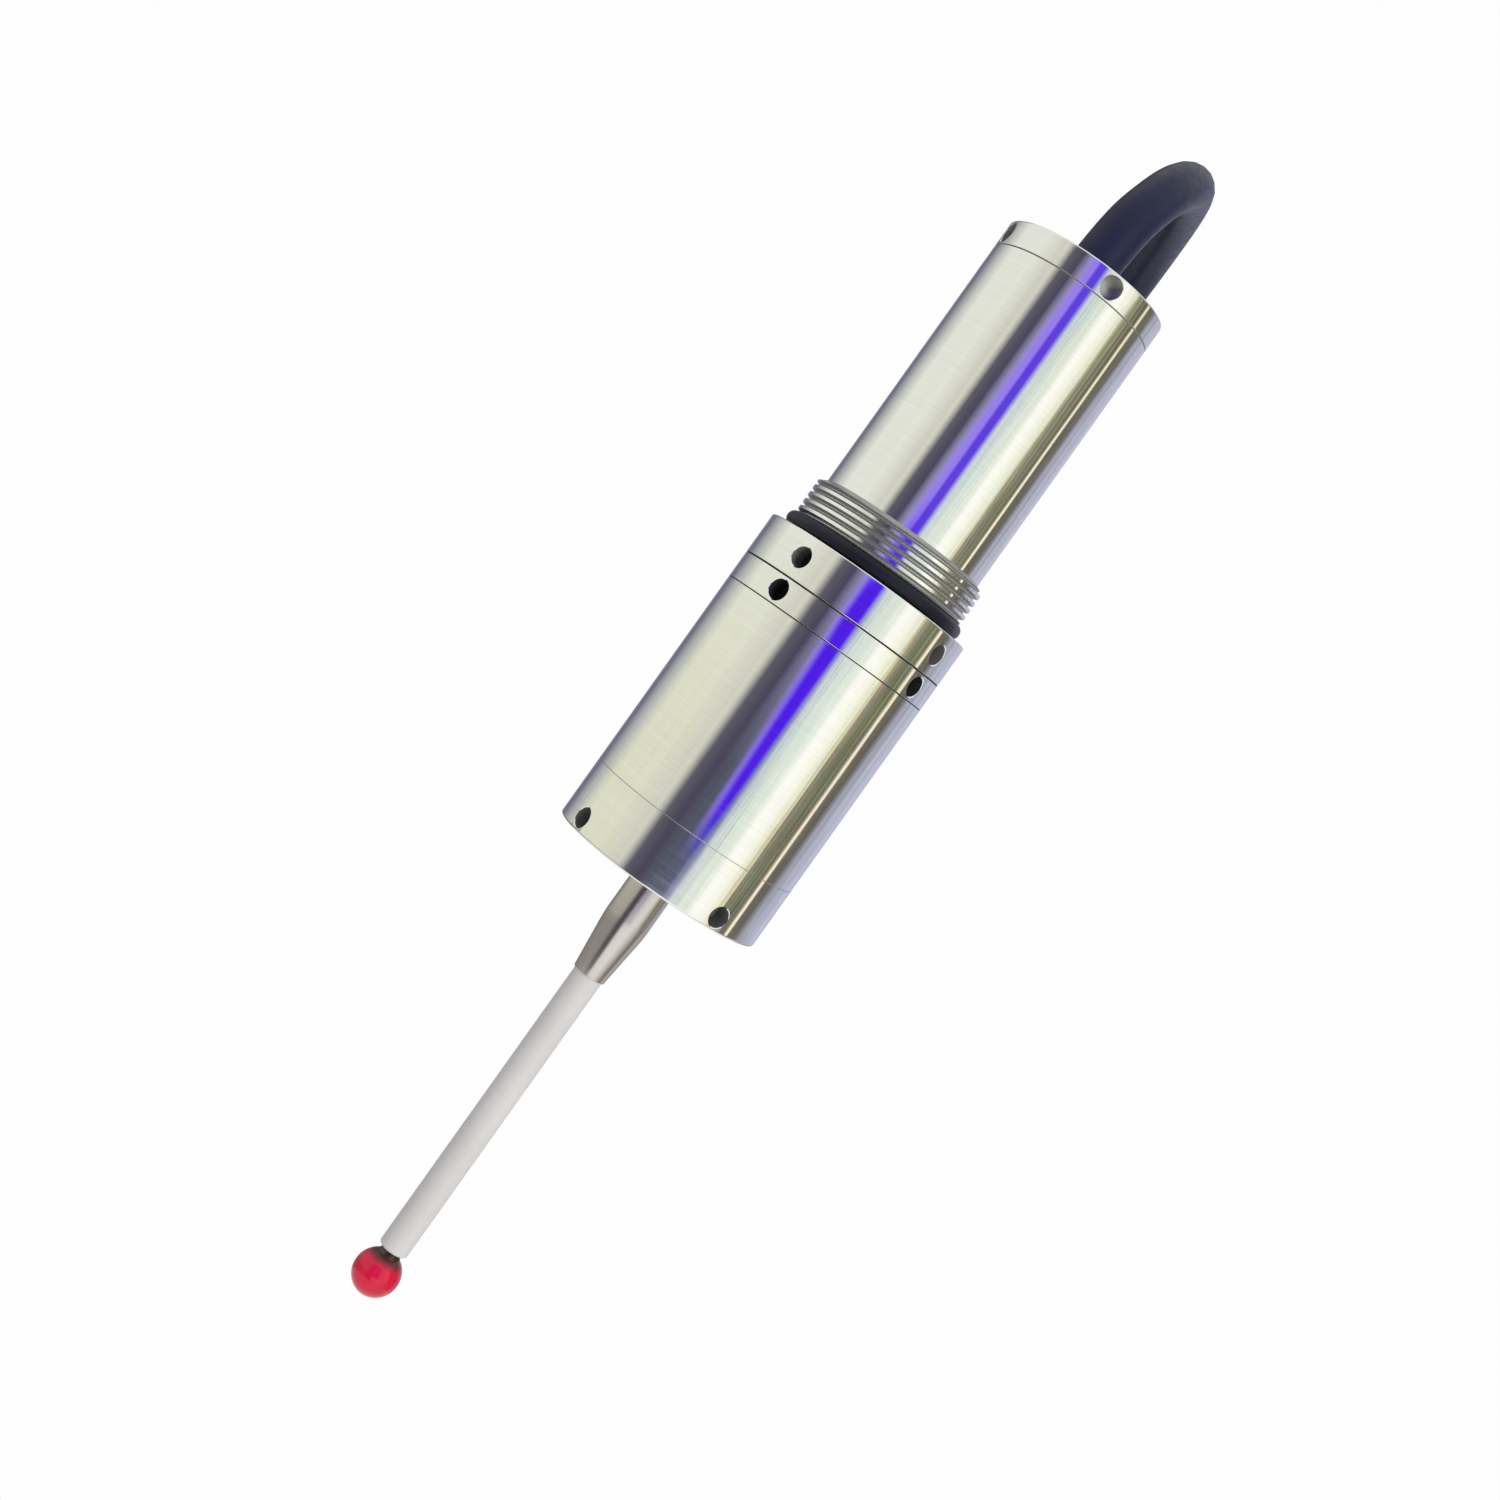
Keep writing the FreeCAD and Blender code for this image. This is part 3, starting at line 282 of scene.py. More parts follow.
STUDIO_FOOT = [
    (-180, (0.20, 0.19, 0.19)), (-110, (0.34, 0.325, 0.315)), (-45, (0.34, 0.325, 0.315)),
    (-30, (0.11, 0.10, 0.10)), (-12, (0.08, 0.075, 0.075)), (0, (0.95, 0.93, 0.92)), (40, WHITE),
    (70, (0.62, 0.60, 0.58)), (95, (0.18, 0.16, 0.15)), (120, (0.55, 0.55, 0.56)), (180, (0.25, 0.24, 0.24)),
]
FOOT_LEVELS = (-0.224, -0.212)
VIOLET_LEFT = [(-8, 0.0), (-4, 0.6), (-1, 1.0)]
VIOLET_RIGHT = [(14, 1.0), (18.5, 0.0)]
VIOLET_COLORS = [(-4, PALE_VIOLET), (2, VIOLET)]
HIGH_VIOLET_COLORS = [(3.8, PALE_VIOLET), (6.3, HIGH_VIOLET)]
VIOLET_FADE = (-0.17, -0.13)
HIGH_LEVELS = (0.06, 0.13)
VIOLET_NARROWING = 52
VIOLET_NARROWING_TOP = 0.03
STREAK_PARTS = [(-120, 0.1), (12, 0.1), (22, 0.6), (60, 0.8), (75, 0.95), (98, 0.9), (112, 0.35)]
STREAK_SCALES = [(14.0, 14.0, 1.2), (34.0, 34.0, 2.4), (60.0, 60.0, 26.0)]
STREAK_CONTRAST = 2.2
STREAK_SATURATION = 0.35

# Ruby: its two reds, and the brown stain between two shares of the radius above its middle
RUBY_REDS = [(0.3, (0.54, 0.003, 0.032)), (0.7, (0.76, 0.008, 0.054))]
RUBY_STAIN = (0.11, 0.018, 0.017)
RUBY_STAIN_SHARES = (0.54, 0.76)


# Node helpers

def new_material(name):
    material = bpy.data.materials.new(name)
    material.use_nodes = True
    tree = material.node_tree
    return material, tree, tree.nodes["Principled BSDF"]


def empty_tree(holder):
    """The cleared node tree of a material or world."""
    holder.use_nodes = True
    holder.node_tree.nodes.clear()
    return holder.node_tree


def set_inputs(made, values):
    """Gives a node's inputs their values. A value that is another node's output is linked."""
    for name, value in values.items():
        if isinstance(value, bpy.types.NodeSocket):
            made.id_data.links.new(value, made.inputs[name])
        else:
            made.inputs[name].default_value = value


def node(tree, kind, values=None, **settings):
    """A new node of the kind, with its settings and the values of its inputs."""
    made = tree.nodes.new("ShaderNode" + kind)
    for key, value in settings.items():
        setattr(made, key, value)
    set_inputs(made, values or {})
    return made


def math_node(tree, operation, first, second):
    """A Math node on two values, each a number or an output."""
    return node(tree, "Math", {0: first, 1: second}, operation=operation).outputs[0]


def noise(tree, vector, scale, detail=3.0, roughness=0.5, output="Fac"):
    values = {"Vector": vector, "Scale": scale, "Detail": detail, "Roughness": roughness}
    return node(tree, "TexNoise", values).outputs[output]


def spread(tree, value, low, high, from_low=0.3, from_high=0.7):
    """The value, most often a noise, taken to the range low to high."""
    ends = {"From Min": from_low, "From Max": from_high, "To Min": low, "To Max": high}
    return node(tree, "MapRange", {"Value": value, **ends}).outputs["Result"]


def ramp(tree, value, stops):
    made = node(tree, "ValToRGB", {"Fac": value})
    elements = made.color_ramp.elements
    elements[0].position, elements[0].color = stops[0][0], (*stops[0][1], 1)
    elements[1].position, elements[1].color = stops[-1][0], (*stops[-1][1], 1)
    for place, color in stops[1:-1]:
        elements.new(place).color = (*color, 1)
    return made.outputs["Color"]


def bump(tree, shader, height, strength, distance):
    made = node(tree, "Bump", {"Height": height, "Strength": strength, "Distance": distance})
    set_inputs(shader, {"Normal": made.outputs["Normal"]})


def mixed(tree, share, first, second, how="MIX"):
    """Two colours mixed, each a colour or an output."""
    first, second = ((*color, 1) if isinstance(color, tuple) else color for color in (first, second))
    values = {"Factor": share, "A": first, "B": second}
    return node(tree, "Mix", values, data_type="RGBA", blend_type=how).outputs["Result"]


def shown(tree, shader, output="OutputMaterial"):
    """Makes the shader the tree's surface."""
    node(tree, output, {"Surface": shader.outputs[0]})


def shader_mix(tree, share, first, second):
    return node(tree, "MixShader", {"Fac": share, 1: first.outputs[0], 2: second.outputs[0]})


def object_place(tree):
    return node(tree, "TexCoord").outputs["Object"]


def split(tree, vector):
    return node(tree, "SeparateXYZ", {0: vector}).outputs


def scaled(tree, vector, scale):
    return node(tree, "Mapping", {"Vector": vector, "Scale": scale}).outputs["Vector"]


def round_lines(tree, vector, across, along):
    """Coordinates whose noise runs in rings round Z, as a lathe tool leaves them on sides and faces."""
    parts = split(tree, vector)
    squares = [math_node(tree, "POWER", parts[axis], 2.0) for axis in "XY"]
    radius = math_node(tree, "SQRT", math_node(tree, "ADD", *squares), 0.0)
    run = math_node(tree, "ADD", radius, parts["Z"])
    scales = {"X": (parts["X"], along), "Y": (parts["Y"], along), "Z": (run, across)}
    values = {axis: math_node(tree, "MULTIPLY", *pair) for axis, pair in scales.items()}
    return node(tree, "CombineXYZ", values).outputs["Vector"]


# Materials, one for each slot of the record

def turned_metal(name, color, tint, rough, line_strength, patch):
    """Turned metal: fine rings of uneven gloss, a faint patchiness, and painted shade that darkens it in
    holes and seams.
    """
    material, tree, shader = new_material(name)
    place = object_place(tree)
    ring_place = round_lines(tree, place, across=2600.0, along=24.0)
    lines = noise(tree, ring_place, scale=1.0, detail=4.0, roughness=0.62)
    broad = noise(tree, place, scale=260.0, detail=2.0)
    # Painted shade: faces marked in this attribute lose their metal colour and gloss and turn dark.
    painted_shade = node(tree, "Attribute", attribute_name="painted_shade").outputs["Fac"]
    unshaded = math_node(tree, "SUBTRACT", 1.0, math_node(tree, "MULTIPLY", painted_shade, PAINTED_SHADE_COVER))
    shade = tuple(channel * 0.93 for channel in color)
    metal = ramp(tree, lines, [(0.25, shade), (0.75, color)])
    darkened = node(tree, "VectorMath", {0: metal, "Scale": unshaded}, operation="SCALE")
    polish = spread(tree, lines, *rough)
    dull = math_node(tree, "MULTIPLY", painted_shade, PAINTED_SHADE_DULLNESS)
    set_inputs(shader, {
        "Base Color": darkened.outputs["Vector"],
        "Metallic": unshaded,
        "Roughness": math_node(tree, "ADD", polish, dull),
        "Specular IOR Level": 0.3,
        "Specular Tint": (*tint, 1),
    })
    height = math_node(tree, "ADD", lines, math_node(tree, "MULTIPLY", broad, patch))
    bump(tree, shader, height, line_strength, distance=0.02 * MM)
    return material


def plain_surface(name, color, shade, rough, grain, depth, specular=0.5, scale=900.0):
    """Moulded or coated surface: an uneven colour, an uneven gloss and a fine grain."""
    material, tree, shader = new_material(name)
    place = object_place(tree)
    broad = noise(tree, place, scale * 0.12)
    fine = noise(tree, place, scale, detail=4.0)
    set_inputs(shader, {
        "Base Color": ramp(tree, broad, [(0.3, color), (0.7, shade)]),
        "Roughness": spread(tree, fine, *rough),
        "Specular IOR Level": specular,
    })
    bump(tree, shader, fine, grain, depth)
    return material


def ball_place():
    """The level of the ball's middle, and its radius."""
    low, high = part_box("ruby_ball")
    return (high[2] + low[2]) / 2, (high[2] - low[2]) / 2


def ruby():
    """Polished synthetic ruby. The pin's foot shows through it as a brown stain at the top."""
    material, tree, shader = new_material("ruby")
    place = object_place(tree)
    cloud = noise(tree, place, scale=300.0, detail=2.0)
    middle, radius = ball_place()
    stain_low, stain_high = (middle + radius * share for share in RUBY_STAIN_SHARES)
    stain = spread(tree, split(tree, place)["Z"], 0.0, 1.0, stain_low, stain_high)
    red = ramp(tree, cloud, RUBY_REDS)
    set_inputs(shader, {
        "Base Color": mixed(tree, stain, red, RUBY_STAIN),
        "Roughness": 0.1,
        "Specular IOR Level": 0.36,
        "Subsurface Weight": 0.06,
        "Subsurface Radius": (1.0, 0.12, 0.12),
        "Subsurface Scale": 1.2 * MM,
    })
    bump(tree, shader, noise(tree, place, scale=1800.0), strength=0.02, distance=0.01 * MM)
    return material


def tie_strap():
    """Woven strap: fine ribs along it and a fine fuzz."""
    material, tree, shader = new_material("tie_strap")
    place = object_place(tree)
    ribs = node(tree, "TexWave", {"Vector": place, "Scale": 420.0, "Distortion": 0.6}, bands_direction="Z")
    fuzz = noise(tree, place, scale=2600.0)
    height = math_node(tree, "ADD", ribs.outputs["Fac"], fuzz)
    stops = [(0.2, (0.010, 0.010, 0.012)), (0.9, (0.035, 0.035, 0.040))]
    color = ramp(tree, ribs.outputs["Fac"], stops)
    set_inputs(shader, {"Base Color": color, "Roughness": spread(tree, fuzz, 0.75, 0.95)})
    bump(tree, shader, height, strength=0.5, distance=0.15 * MM)
    return material


def make_materials():
    """Metals: colour, tint at the edges, range of roughness, strength of the lines, share of broad waves.

    Other surfaces: two colours, range of roughness, strength and depth of the grain, specular level.
    """
    edge_tint = (0.80, 0.78, 0.86)
    plain_tint = (0.9, 0.9, 0.9)
    metals = [
        ("turned_steel", (0.80, 0.80, 0.735), edge_tint, (0.035, 0.075), 0.04, 0.3),
        ("inner_steel", (0.60, 0.60, 0.61), plain_tint, (0.18, 0.30), 0.2, 0.0),
        ("hardened_steel", (0.72, 0.72, 0.74), plain_tint, (0.04, 0.10), 0.05, 0.0),
        ("spring_steel", (0.42, 0.42, 0.44), plain_tint, (0.22, 0.34), 0.2, 0.0),
        ("ferrule_steel", (0.60, 0.56, 0.525), plain_tint, (0.15, 0.22), 0.08, 0.1),
        ("pin_steel", (0.10, 0.065, 0.05), plain_tint, (0.30, 0.42), 0.2, 0.0),
        ("contact_brass", (0.80, 0.60, 0.27), plain_tint, (0.14, 0.26), 0.2, 0.0),
        ("plug_metal", (0.70, 0.70, 0.71), plain_tint, (0.12, 0.22), 0.2, 0.0),
    ]
    surfaces = [
        ("insulator", (0.06, 0.055, 0.05), (0.08, 0.075, 0.07), (0.45, 0.6), 0.2, 0.05 * MM),
        ("seal_rubber", (0.006, 0.007, 0.012), (0.012, 0.014, 0.022), (0.34, 0.48), 0.15, 0.03 * MM, 0.22),
        ("grommet_rubber", (0.012, 0.012, 0.016), (0.020, 0.020, 0.026), (0.5, 0.65), 0.25, 0.05 * MM, 0.25),
        ("stem_ceramic", (0.60, 0.575, 0.545), (0.64, 0.61, 0.58), (0.45, 0.58), 0.12, 0.02 * MM, 0.3),
        ("board", (0.015, 0.10, 0.035), (0.02, 0.13, 0.05), (0.35, 0.5), 0.2, 0.05 * MM),
        ("chip", (0.012, 0.012, 0.013), (0.02, 0.02, 0.021), (0.5, 0.65), 0.3, 0.05 * MM),
        ("core_insulation", (0.45, 0.12, 0.03), (0.52, 0.15, 0.04), (0.4, 0.5), 0.1, 0.03 * MM),
        ("cable_jacket", (0.008, 0.011, 0.034), (0.013, 0.017, 0.048), (0.38, 0.5), 0.15, 0.04 * MM, 0.22),
        ("plug_grip", (0.014, 0.014, 0.016), (0.022, 0.022, 0.025), (0.5, 0.65), 0.35, 0.08 * MM, 0.3),
    ]
    made = {metal[0]: turned_metal(*metal) for metal in metals}
    made.update({surface[0]: plain_surface(*surface) for surface in surfaces})
    made.update({"ruby": ruby(), "tie_strap": tie_strap()})
    return made


MATERIALS = make_materials()
SLOTS = {part["node"]: part["material_slot"] for part in frame["record"]["subparts"]}


# Mesh helpers

def added(name, data):
    """A new object in the scene."""
    made = bpy.data.objects.new(name, data)
    bpy.context.scene.collection.objects.link(made)
    return made


def finished(mesh, name, cad_node, body=None):
    """The mesh as a piece that stands for a CAD node: its material, its slot and the body it rides on."""
    piece = added(name, mesh)
    mesh.materials.clear()
    mesh.materials.append(MATERIALS[SLOTS[cad_node]])
    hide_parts(cad_node)
    if body:
        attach(piece, body)
    return piece


def smooth(mesh, angle=35.0):
    mesh.polygons.foreach_set("use_smooth", [True] * len(mesh.polygons))
    mesh.set_sharp_from_angle(angle=math.radians(angle))


def even_normals(piece):
    """Large faces keep their true normals, so a side stays a true cylinder up to its rounded edge."""
    weighting = piece.modifiers.new("even_normals", "WEIGHTED_NORMAL")
    weighting.keep_sharp = True
    return piece


def rounded(corners, steps=4):
    """The section with each corner that gives a rounding (radius, level, rounding) made into a short arc."""
    points = []
    count = len(corners)
    for index, corner in enumerate(corners):
        here = Vector(corner[:2])
        if len(corner) < 3:
            points.append(here)
            continue
        before = (Vector(corners[index - 1][:2]) - here).normalized()
        after = (Vector(corners[(index + 1) % count][:2]) - here).normalized()
        start = here + before * corner[2]
        end = here + after * corner[2]
        for step in range(steps + 1):
            share = step / steps
            points.append(start.lerp(here, share).lerp(here.lerp(end, share), share))
    return points


def skinned(form, rings, closed=True):
    """Faces from each ring of corners to the next."""
    rows = len(rings[0])
    for near, far in zip(rings, rings[1:]):
        for row in range(rows if closed else rows - 1):
            after = (row + 1) % rows
            form.faces.new((near[row], near[after], far[after], far[row]))


def meshed(form, name):
    """The form as a smooth mesh, with its faces turned outward."""
    bmesh.ops.recalc_face_normals(form, faces=form.faces)
    mesh = bpy.data.meshes.new(name)
    form.to_mesh(mesh)
    form.free()
    smooth(mesh)
    return mesh


def revolved(name, section, closed=True, columns=COLUMNS):
    """A mesh turned about Z from (radius, level) points, given as a list or by a function of the angle."""
    form = bmesh.new()
    rings = []
    for column in range(columns + 1):
        angle = math.tau * column / columns
        points = section(angle) if callable(section) else section
        c, s = math.cos(angle), math.sin(angle)
        rings.append([form.verts.new((r * c, r * s, z)) for r, z in points])
    skinned(form, rings, closed)
    bmesh.ops.remove_doubles(form, verts=form.verts, dist=LEAST_DISTANCE)
    bmesh.ops.dissolve_degenerate(form, dist=LEAST_EDGE, edges=form.edges)
    return meshed(form, name)


def turned(name, section, cad_node, body="housing", **settings):
    return finished(revolved(name, section, **settings), name, cad_node, body)


def arc_points(middle_radius, middle_level, radius, first_angle, last_angle, steps):
    """Section points on an arc from one angle to another, both ends included."""
    points = []
    for step in range(steps + 1):
        angle = first_angle + (last_angle - first_angle) * step / steps
        points.append((middle_radius + radius * math.cos(angle), middle_level + radius * math.sin(angle)))
    return points


def hole_cutter(radius, rim_radius):
    """A drill with a flat end and a small countersink, lying along +X."""
    inner = rim_radius - HOLE_DEPTH
    outer = rim_radius + CUTTER_REACH
    widening = HOLE_EDGE + outer - rim_radius
    mouth = rim_radius - HOLE_EDGE
    section = [(0.0, inner), (radius, inner), (radius, mouth), (radius + widening, outer), (0.0, outer)]
    return revolved("cutter", section, closed=False, columns=CUTTER_COLUMNS)


def drilled(piece, radius, rim_radius, level, first_angle, amount):
    """Four radial holes cut in a piece, their walls darkened with painted shade."""
    cutters = []
    cutter_mesh = hole_cutter(radius, rim_radius)
    lay = Matrix.Rotation(math.radians(90), 4, "Y")
    angles = [math.radians(first_angle + 90 * quarter) for quarter in range(4)]
    for quarter, angle in enumerate(angles):
        cutter = added(f"cutter_{quarter}", cutter_mesh)
        cutter.matrix_world = Matrix.Translation((0, 0, level)) @ Matrix.Rotation(angle, 4, "Z") @ lay
        cutters.append(cutter)
        drill = piece.modifiers.new(f"hole_{quarter}", "BOOLEAN")
        drill.operation = "DIFFERENCE"
        drill.solver = "EXACT"
        drill.object = cutter
    bpy.context.view_layer.update()
    graph = bpy.context.evaluated_depsgraph_get()
    mesh = bpy.data.meshes.new_from_object(piece.evaluated_get(graph))
    piece.modifiers.clear()
    piece.data = mesh
    for cutter in cutters:
        bpy.data.objects.remove(cutter)
    smooth(mesh)
    directions = [Vector((math.cos(angle), math.sin(angle), 0)) for angle in angles]

    def in_hole(place):
        if math.hypot(place.x, place.y) > rim_radius - HOLE_EDGE * 0.75:
            return False
        offset = place - Vector((0, 0, level))
        for direction in directions:
            along = offset.dot(direction)
            if along > 0 and (offset - direction * along).length < radius + HOLE_EDGE / 4:
                return True
        return False

    paint_shade(piece, amount, in_hole)


def paint_shade(piece, amount, inside):
    """Marks the faces whose middle passes the test, for the painted shade that darkens the metal there."""
    layer = piece.data.attributes.get("painted_shade") or piece.data.attributes.new("painted_shade", "FLOAT", "FACE")
    for face in piece.data.polygons:
        if inside(face.center):
            layer.data[face.index].value = amount


def paint_seam_shade(piece, level, edge, rim_radius, amount):
    """Darkens a rim's chamfer where two pieces meet, as painted shade."""
    def inside(place):
        return abs(place.z - level) < edge and math.hypot(place.x, place.y) < rim_radius - edge * 0.05

    paint_shade(piece, amount, inside)


def low_level(name):
    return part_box(name)[0][2]


def high_level(name):
    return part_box(name)[1][2]


def levels(name):
    return low_level(name), high_level(name)


# Body

def make_rear_tube():
    """Barrel, helical mounting thread, seal groove and spigot, turned as one piece."""
    bottom, top = levels("rear_tube")
    shoulder = high_level("lock_ring")
    root = THREAD_RADIUS - THREAD_DEPTH

    def thread_radius(level, angle):
        phase = (level / THREAD_PITCH - angle / math.tau) % 1
        slope = (THREAD_ROOT_SHARE - abs(2 * phase - 1)) / (THREAD_ROOT_SHARE - THREAD_CREST_SHARE)
        crest = root + THREAD_DEPTH * min(1.0, max(0.0, slope))
        upper = BARREL_RADIUS + (THREAD_HALF - level) * THREAD_END_SLOPE
        lower = THREAD_RADIUS - EDGE + (level + THREAD_HALF)
        return min(crest, upper, lower)

    def section(angle):
        points = [(SPIGOT_BORE_RADIUS, bottom), (SPIGOT_RADIUS - EDGE, bottom)]
        points.append((SPIGOT_RADIUS, bottom + EDGE))
        points += [(SPIGOT_RADIUS, shoulder), (GROOVE_RADIUS, shoulder), (GROOVE_RADIUS, -THREAD_HALF)]
        turns = math.ceil(2 * THREAD_HALF / THREAD_PITCH) + 2
        for row in range(turns * THREAD_ROWS + 1):
            rise = (row / THREAD_ROWS - 1 + angle / math.tau) * THREAD_PITCH - THREAD_HALF
            level = min(max(rise, -THREAD_HALF), THREAD_HALF)
            points.append((thread_radius(level, angle), level))
        edge_foot = top - SEAM_EDGE
        points += [(BARREL_RADIUS, THREAD_HALF + SIDE_MARGIN), (BARREL_RADIUS, edge_foot - SIDE_MARGIN)]
        points += [(BARREL_RADIUS, edge_foot), (BARREL_RADIUS - SEAM_EDGE, top)]
        points += [(BARREL_BORE_RADIUS, top), (BARREL_BORE_RADIUS, BORE_STEP_LEVEL)]
        points.append((SPIGOT_BORE_RADIUS, BORE_STEP_LEVEL))
        return points

    piece = turned("threaded_tube", section, "rear_tube")
    # Painted shade on the top seam's chamfer, on all below the thread, and on the thread's flanks and roots
    # below the crests.
    paint_seam_shade(piece, top, SEAM_EDGE, BARREL_RADIUS, FAINT_PAINTED_SHADE)
    paint_shade(piece, DEEP_PAINTED_SHADE, lambda place: place.z < -THREAD_HALF)
    crest = THREAD_RADIUS - THREAD_DEPTH * THREAD_BRIGHT_SHARE

    def below_crest(place):
        return abs(place.z) < THREAD_HALF and math.hypot(place.x, place.y) < crest

    paint_shade(piece, THREAD_PAINTED_SHADE, below_crest)
    even_normals(piece)


def make_rings():
    """The lock ring and the clamp ring."""
    bore = SPIGOT_RADIUS + SCREW_GAP
    rings = (
        ("lock_ring", WIDE_SEAM_EDGE, EDGE, LIGHT_PAINTED_SHADE),
        ("clamp_ring", SEAM_EDGE, WIDE_SEAM_EDGE, DEEP_PAINTED_SHADE),
    )
    for name, lower_edge, upper_edge, hole_shade in rings:
        bottom, top = levels(name)
        section = rounded([
            (bore, bottom),
            (BODY_RADIUS, bottom, lower_edge),
            (BODY_RADIUS, top, upper_edge),
            (bore, top),
        ])
        piece = turned(name + "_turned", section, name)
        # Painted shade in the spanner holes and on the seam chamfers.
        drilled(piece, HOLE_RADIUS, BODY_RADIUS, (bottom + top) / 2, RING_HOLE_ANGLE, hole_shade)
        paint_seam_shade(piece, bottom, WIDE_SEAM_EDGE, BODY_RADIUS, DEEP_PAINTED_SHADE)
        if name == "clamp_ring":
            paint_seam_shade(piece, top, WIDE_SEAM_EDGE, BODY_RADIUS, DEEP_PAINTED_SHADE)
        even_normals(piece)


def make_main_sleeve():
    """The wide lower body, with its inner floor and the nose that the front cap screws on."""
    nose, top = levels("main_sleeve")
    bottom = high_level("front_cap")
    bore = SPIGOT_RADIUS + SCREW_GAP
    section = rounded([
        (bore, top),
        (bore, SLEEVE_FLOOR_LEVEL),
        (SLEEVE_FLOOR_RADIUS, SLEEVE_FLOOR_LEVEL),
        (SLEEVE_FLOOR_RADIUS, SLEEVE_FLOOR_UNDER),
        (SLEEVE_LOWER_RADIUS, SLEEVE_FLOOR_UNDER),
        (SLEEVE_LOWER_RADIUS, nose),
        (SLEEVE_NOSE_RADIUS, nose),
        (SLEEVE_NOSE_RADIUS, bottom),
        (BODY_RADIUS, bottom, CLOSE_SEAM_EDGE),
        (BODY_RADIUS, top, SEAM_EDGE),
    ])
    piece = turned("sleeve_turned", section, "main_sleeve")
    # Painted shade on the seam chamfers at both ends.
    paint_seam_shade(piece, top, SEAM_EDGE, BODY_RADIUS, DEEP_PAINTED_SHADE)
    paint_seam_shade(piece, bottom, CLOSE_SEAM_EDGE, BODY_RADIUS, FAINT_PAINTED_SHADE)
    even_normals(piece)


def make_front_cap():
    """The cap at the stylus end, with its opening."""
    bottom, top = levels("front_cap")
    ledge = low_level("main_sleeve") - DIAPHRAGM_RIM
    section = rounded([
        (SLEEVE_NOSE_RADIUS + SCREW_GAP, top),
        (SLEEVE_NOSE_RADIUS + SCREW_GAP, ledge),
        (FRONT_OPENING_RADIUS, ledge),
        (FRONT_OPENING_RADIUS, bottom, EDGE),
        (BODY_RADIUS, bottom, EDGE),
        (BODY_RADIUS, top, CLOSE_SEAM_EDGE),
    ])
    piece = turned("front_cap_turned", section, "front_cap")
    # Painted shade in the spanner holes and on the top seam's chamfer.
    drilled(piece, HOLE_RADIUS, BODY_RADIUS, bottom + FRONT_HOLE_RISE, FRONT_HOLE_ANGLE, LIGHT_PAINTED_SHADE)
    paint_seam_shade(piece, top, CLOSE_SEAM_EDGE, BODY_RADIUS, FAINT_PAINTED_SHADE)
    even_normals(piece)


def make_rear_cap():
    """The cap at the cable end, with a seat for the grommet."""
    top = high_level("rear_cap")
    seam = high_level("rear_tube")
    ceiling = top - CAP_ROOF
    plug_end = seam - CAP_PLUG_LENGTH
    cable_hole = CABLE_RADIUS + GROMMET_GAP
    section = rounded([
        (cable_hole, ceiling),
        (CAP_RECESS_RADIUS, ceiling),
        (CAP_RECESS_RADIUS, plug_end),
        (BARREL_BORE_RADIUS - SCREW_GAP, plug_end),
        (BARREL_BORE_RADIUS - SCREW_GAP, seam),
        (BARREL_RADIUS, seam, SEAM_EDGE),
        (BARREL_RADIUS, top, EDGE),
        (GROMMET_RADIUS, top),
        (GROMMET_RADIUS, top - GROMMET_DEPTH),
        (cable_hole, top - GROMMET_DEPTH),
    ])
    piece = turned("rear_cap_turned", section, "rear_cap")
    # Painted shade, lighter, in the spanner holes, and on the seam's chamfer.
    drilled(piece, REAR_HOLE_RADIUS, BARREL_RADIUS, (seam + top) / 2, REAR_HOLE_ANGLE, REAR_HOLE_PAINTED_SHADE)
    paint_seam_shade(piece, seam, SEAM_EDGE, BARREL_RADIUS, FAINT_PAINTED_SHADE)
    even_normals(piece)


def make_seal():
    """The round sealing ring below the thread."""
    level = sum(levels("mounting_seal")) / 2
    section = arc_points(SEAL_CIRCLE, level, SEAL_RADIUS, 0.0, math.tau, steps=40)[:-1]
    turned("seal_ring", section, "mounting_seal")


def make_grommet():
    """A rubber collar that flares from the cable to its seat in the cap."""
    bottom, top = levels("cable_grommet")
    cap_top = high_level("rear_cap")
    inner = CABLE_RADIUS + GROMMET_GAP
    outer = GROMMET_RADIUS - GROMMET_GAP
    slim = inner + GROMMET_LIP
    foot = cap_top + GROMMET_LIP
    flare = [(outer, bottom), (outer, foot)]
    steps = 8
    for step in range(1, steps + 1):
        share = step / steps
        flare.append((slim + (outer - slim) * (1 - share) ** GROMMET_FLARE, foot + (top - foot) * share))
    section = [(inner, bottom), *flare, (inner, top)]
    turned("grommet", section, "cable_grommet")


def make_diaphragm():
    """The rubber seal: its clamped rim, its fold in three rings, and the collar on the stylus."""
    nose = low_level("main_sleeve")
    rim_radius = SLEEVE_NOSE_RADIUS - SCREW_GAP
    rim_bottom = nose - DIAPHRAGM_RIM
    fold_start = FOLD_RINGS[0][3][0][0] * MM - DIAPHRAGM_WALL / 2
    rim = [(fold_start, rim_bottom), (rim_radius, rim_bottom), (rim_radius, nose), (fold_start, nose)]
    turned("seal_rim", rim, "diaphragm_seal")
    for name, outer_body, inner_body, places in FOLD_RINGS:
        section = [(radius * MM, nose - drop * MM) for radius, drop in places]
        piece = turned(name, section, "diaphragm_seal", body=None, closed=False, columns=SEAL_COLUMNS)
        wall = piece.modifiers.new("wall", "SOLIDIFY")
        wall.thickness = DIAPHRAGM_WALL
        wall.offset = 0.0
        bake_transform(piece)
    top, bottom = nose - COLLAR_TOP_DROP, nose - COLLAR_DROP
    section = rounded([
        (COLLAR_BORE_RADIUS, bottom),
        (COLLAR_OUTER_RADIUS, bottom, COLLAR_LIP),
        (COLLAR_OUTER_RADIUS, top, COLLAR_LIP),
        (COLLAR_BORE_RADIUS, top),
    ])
    turned("seal_collar", section, "diaphragm_seal", "stylus", columns=SEAL_COLUMNS)


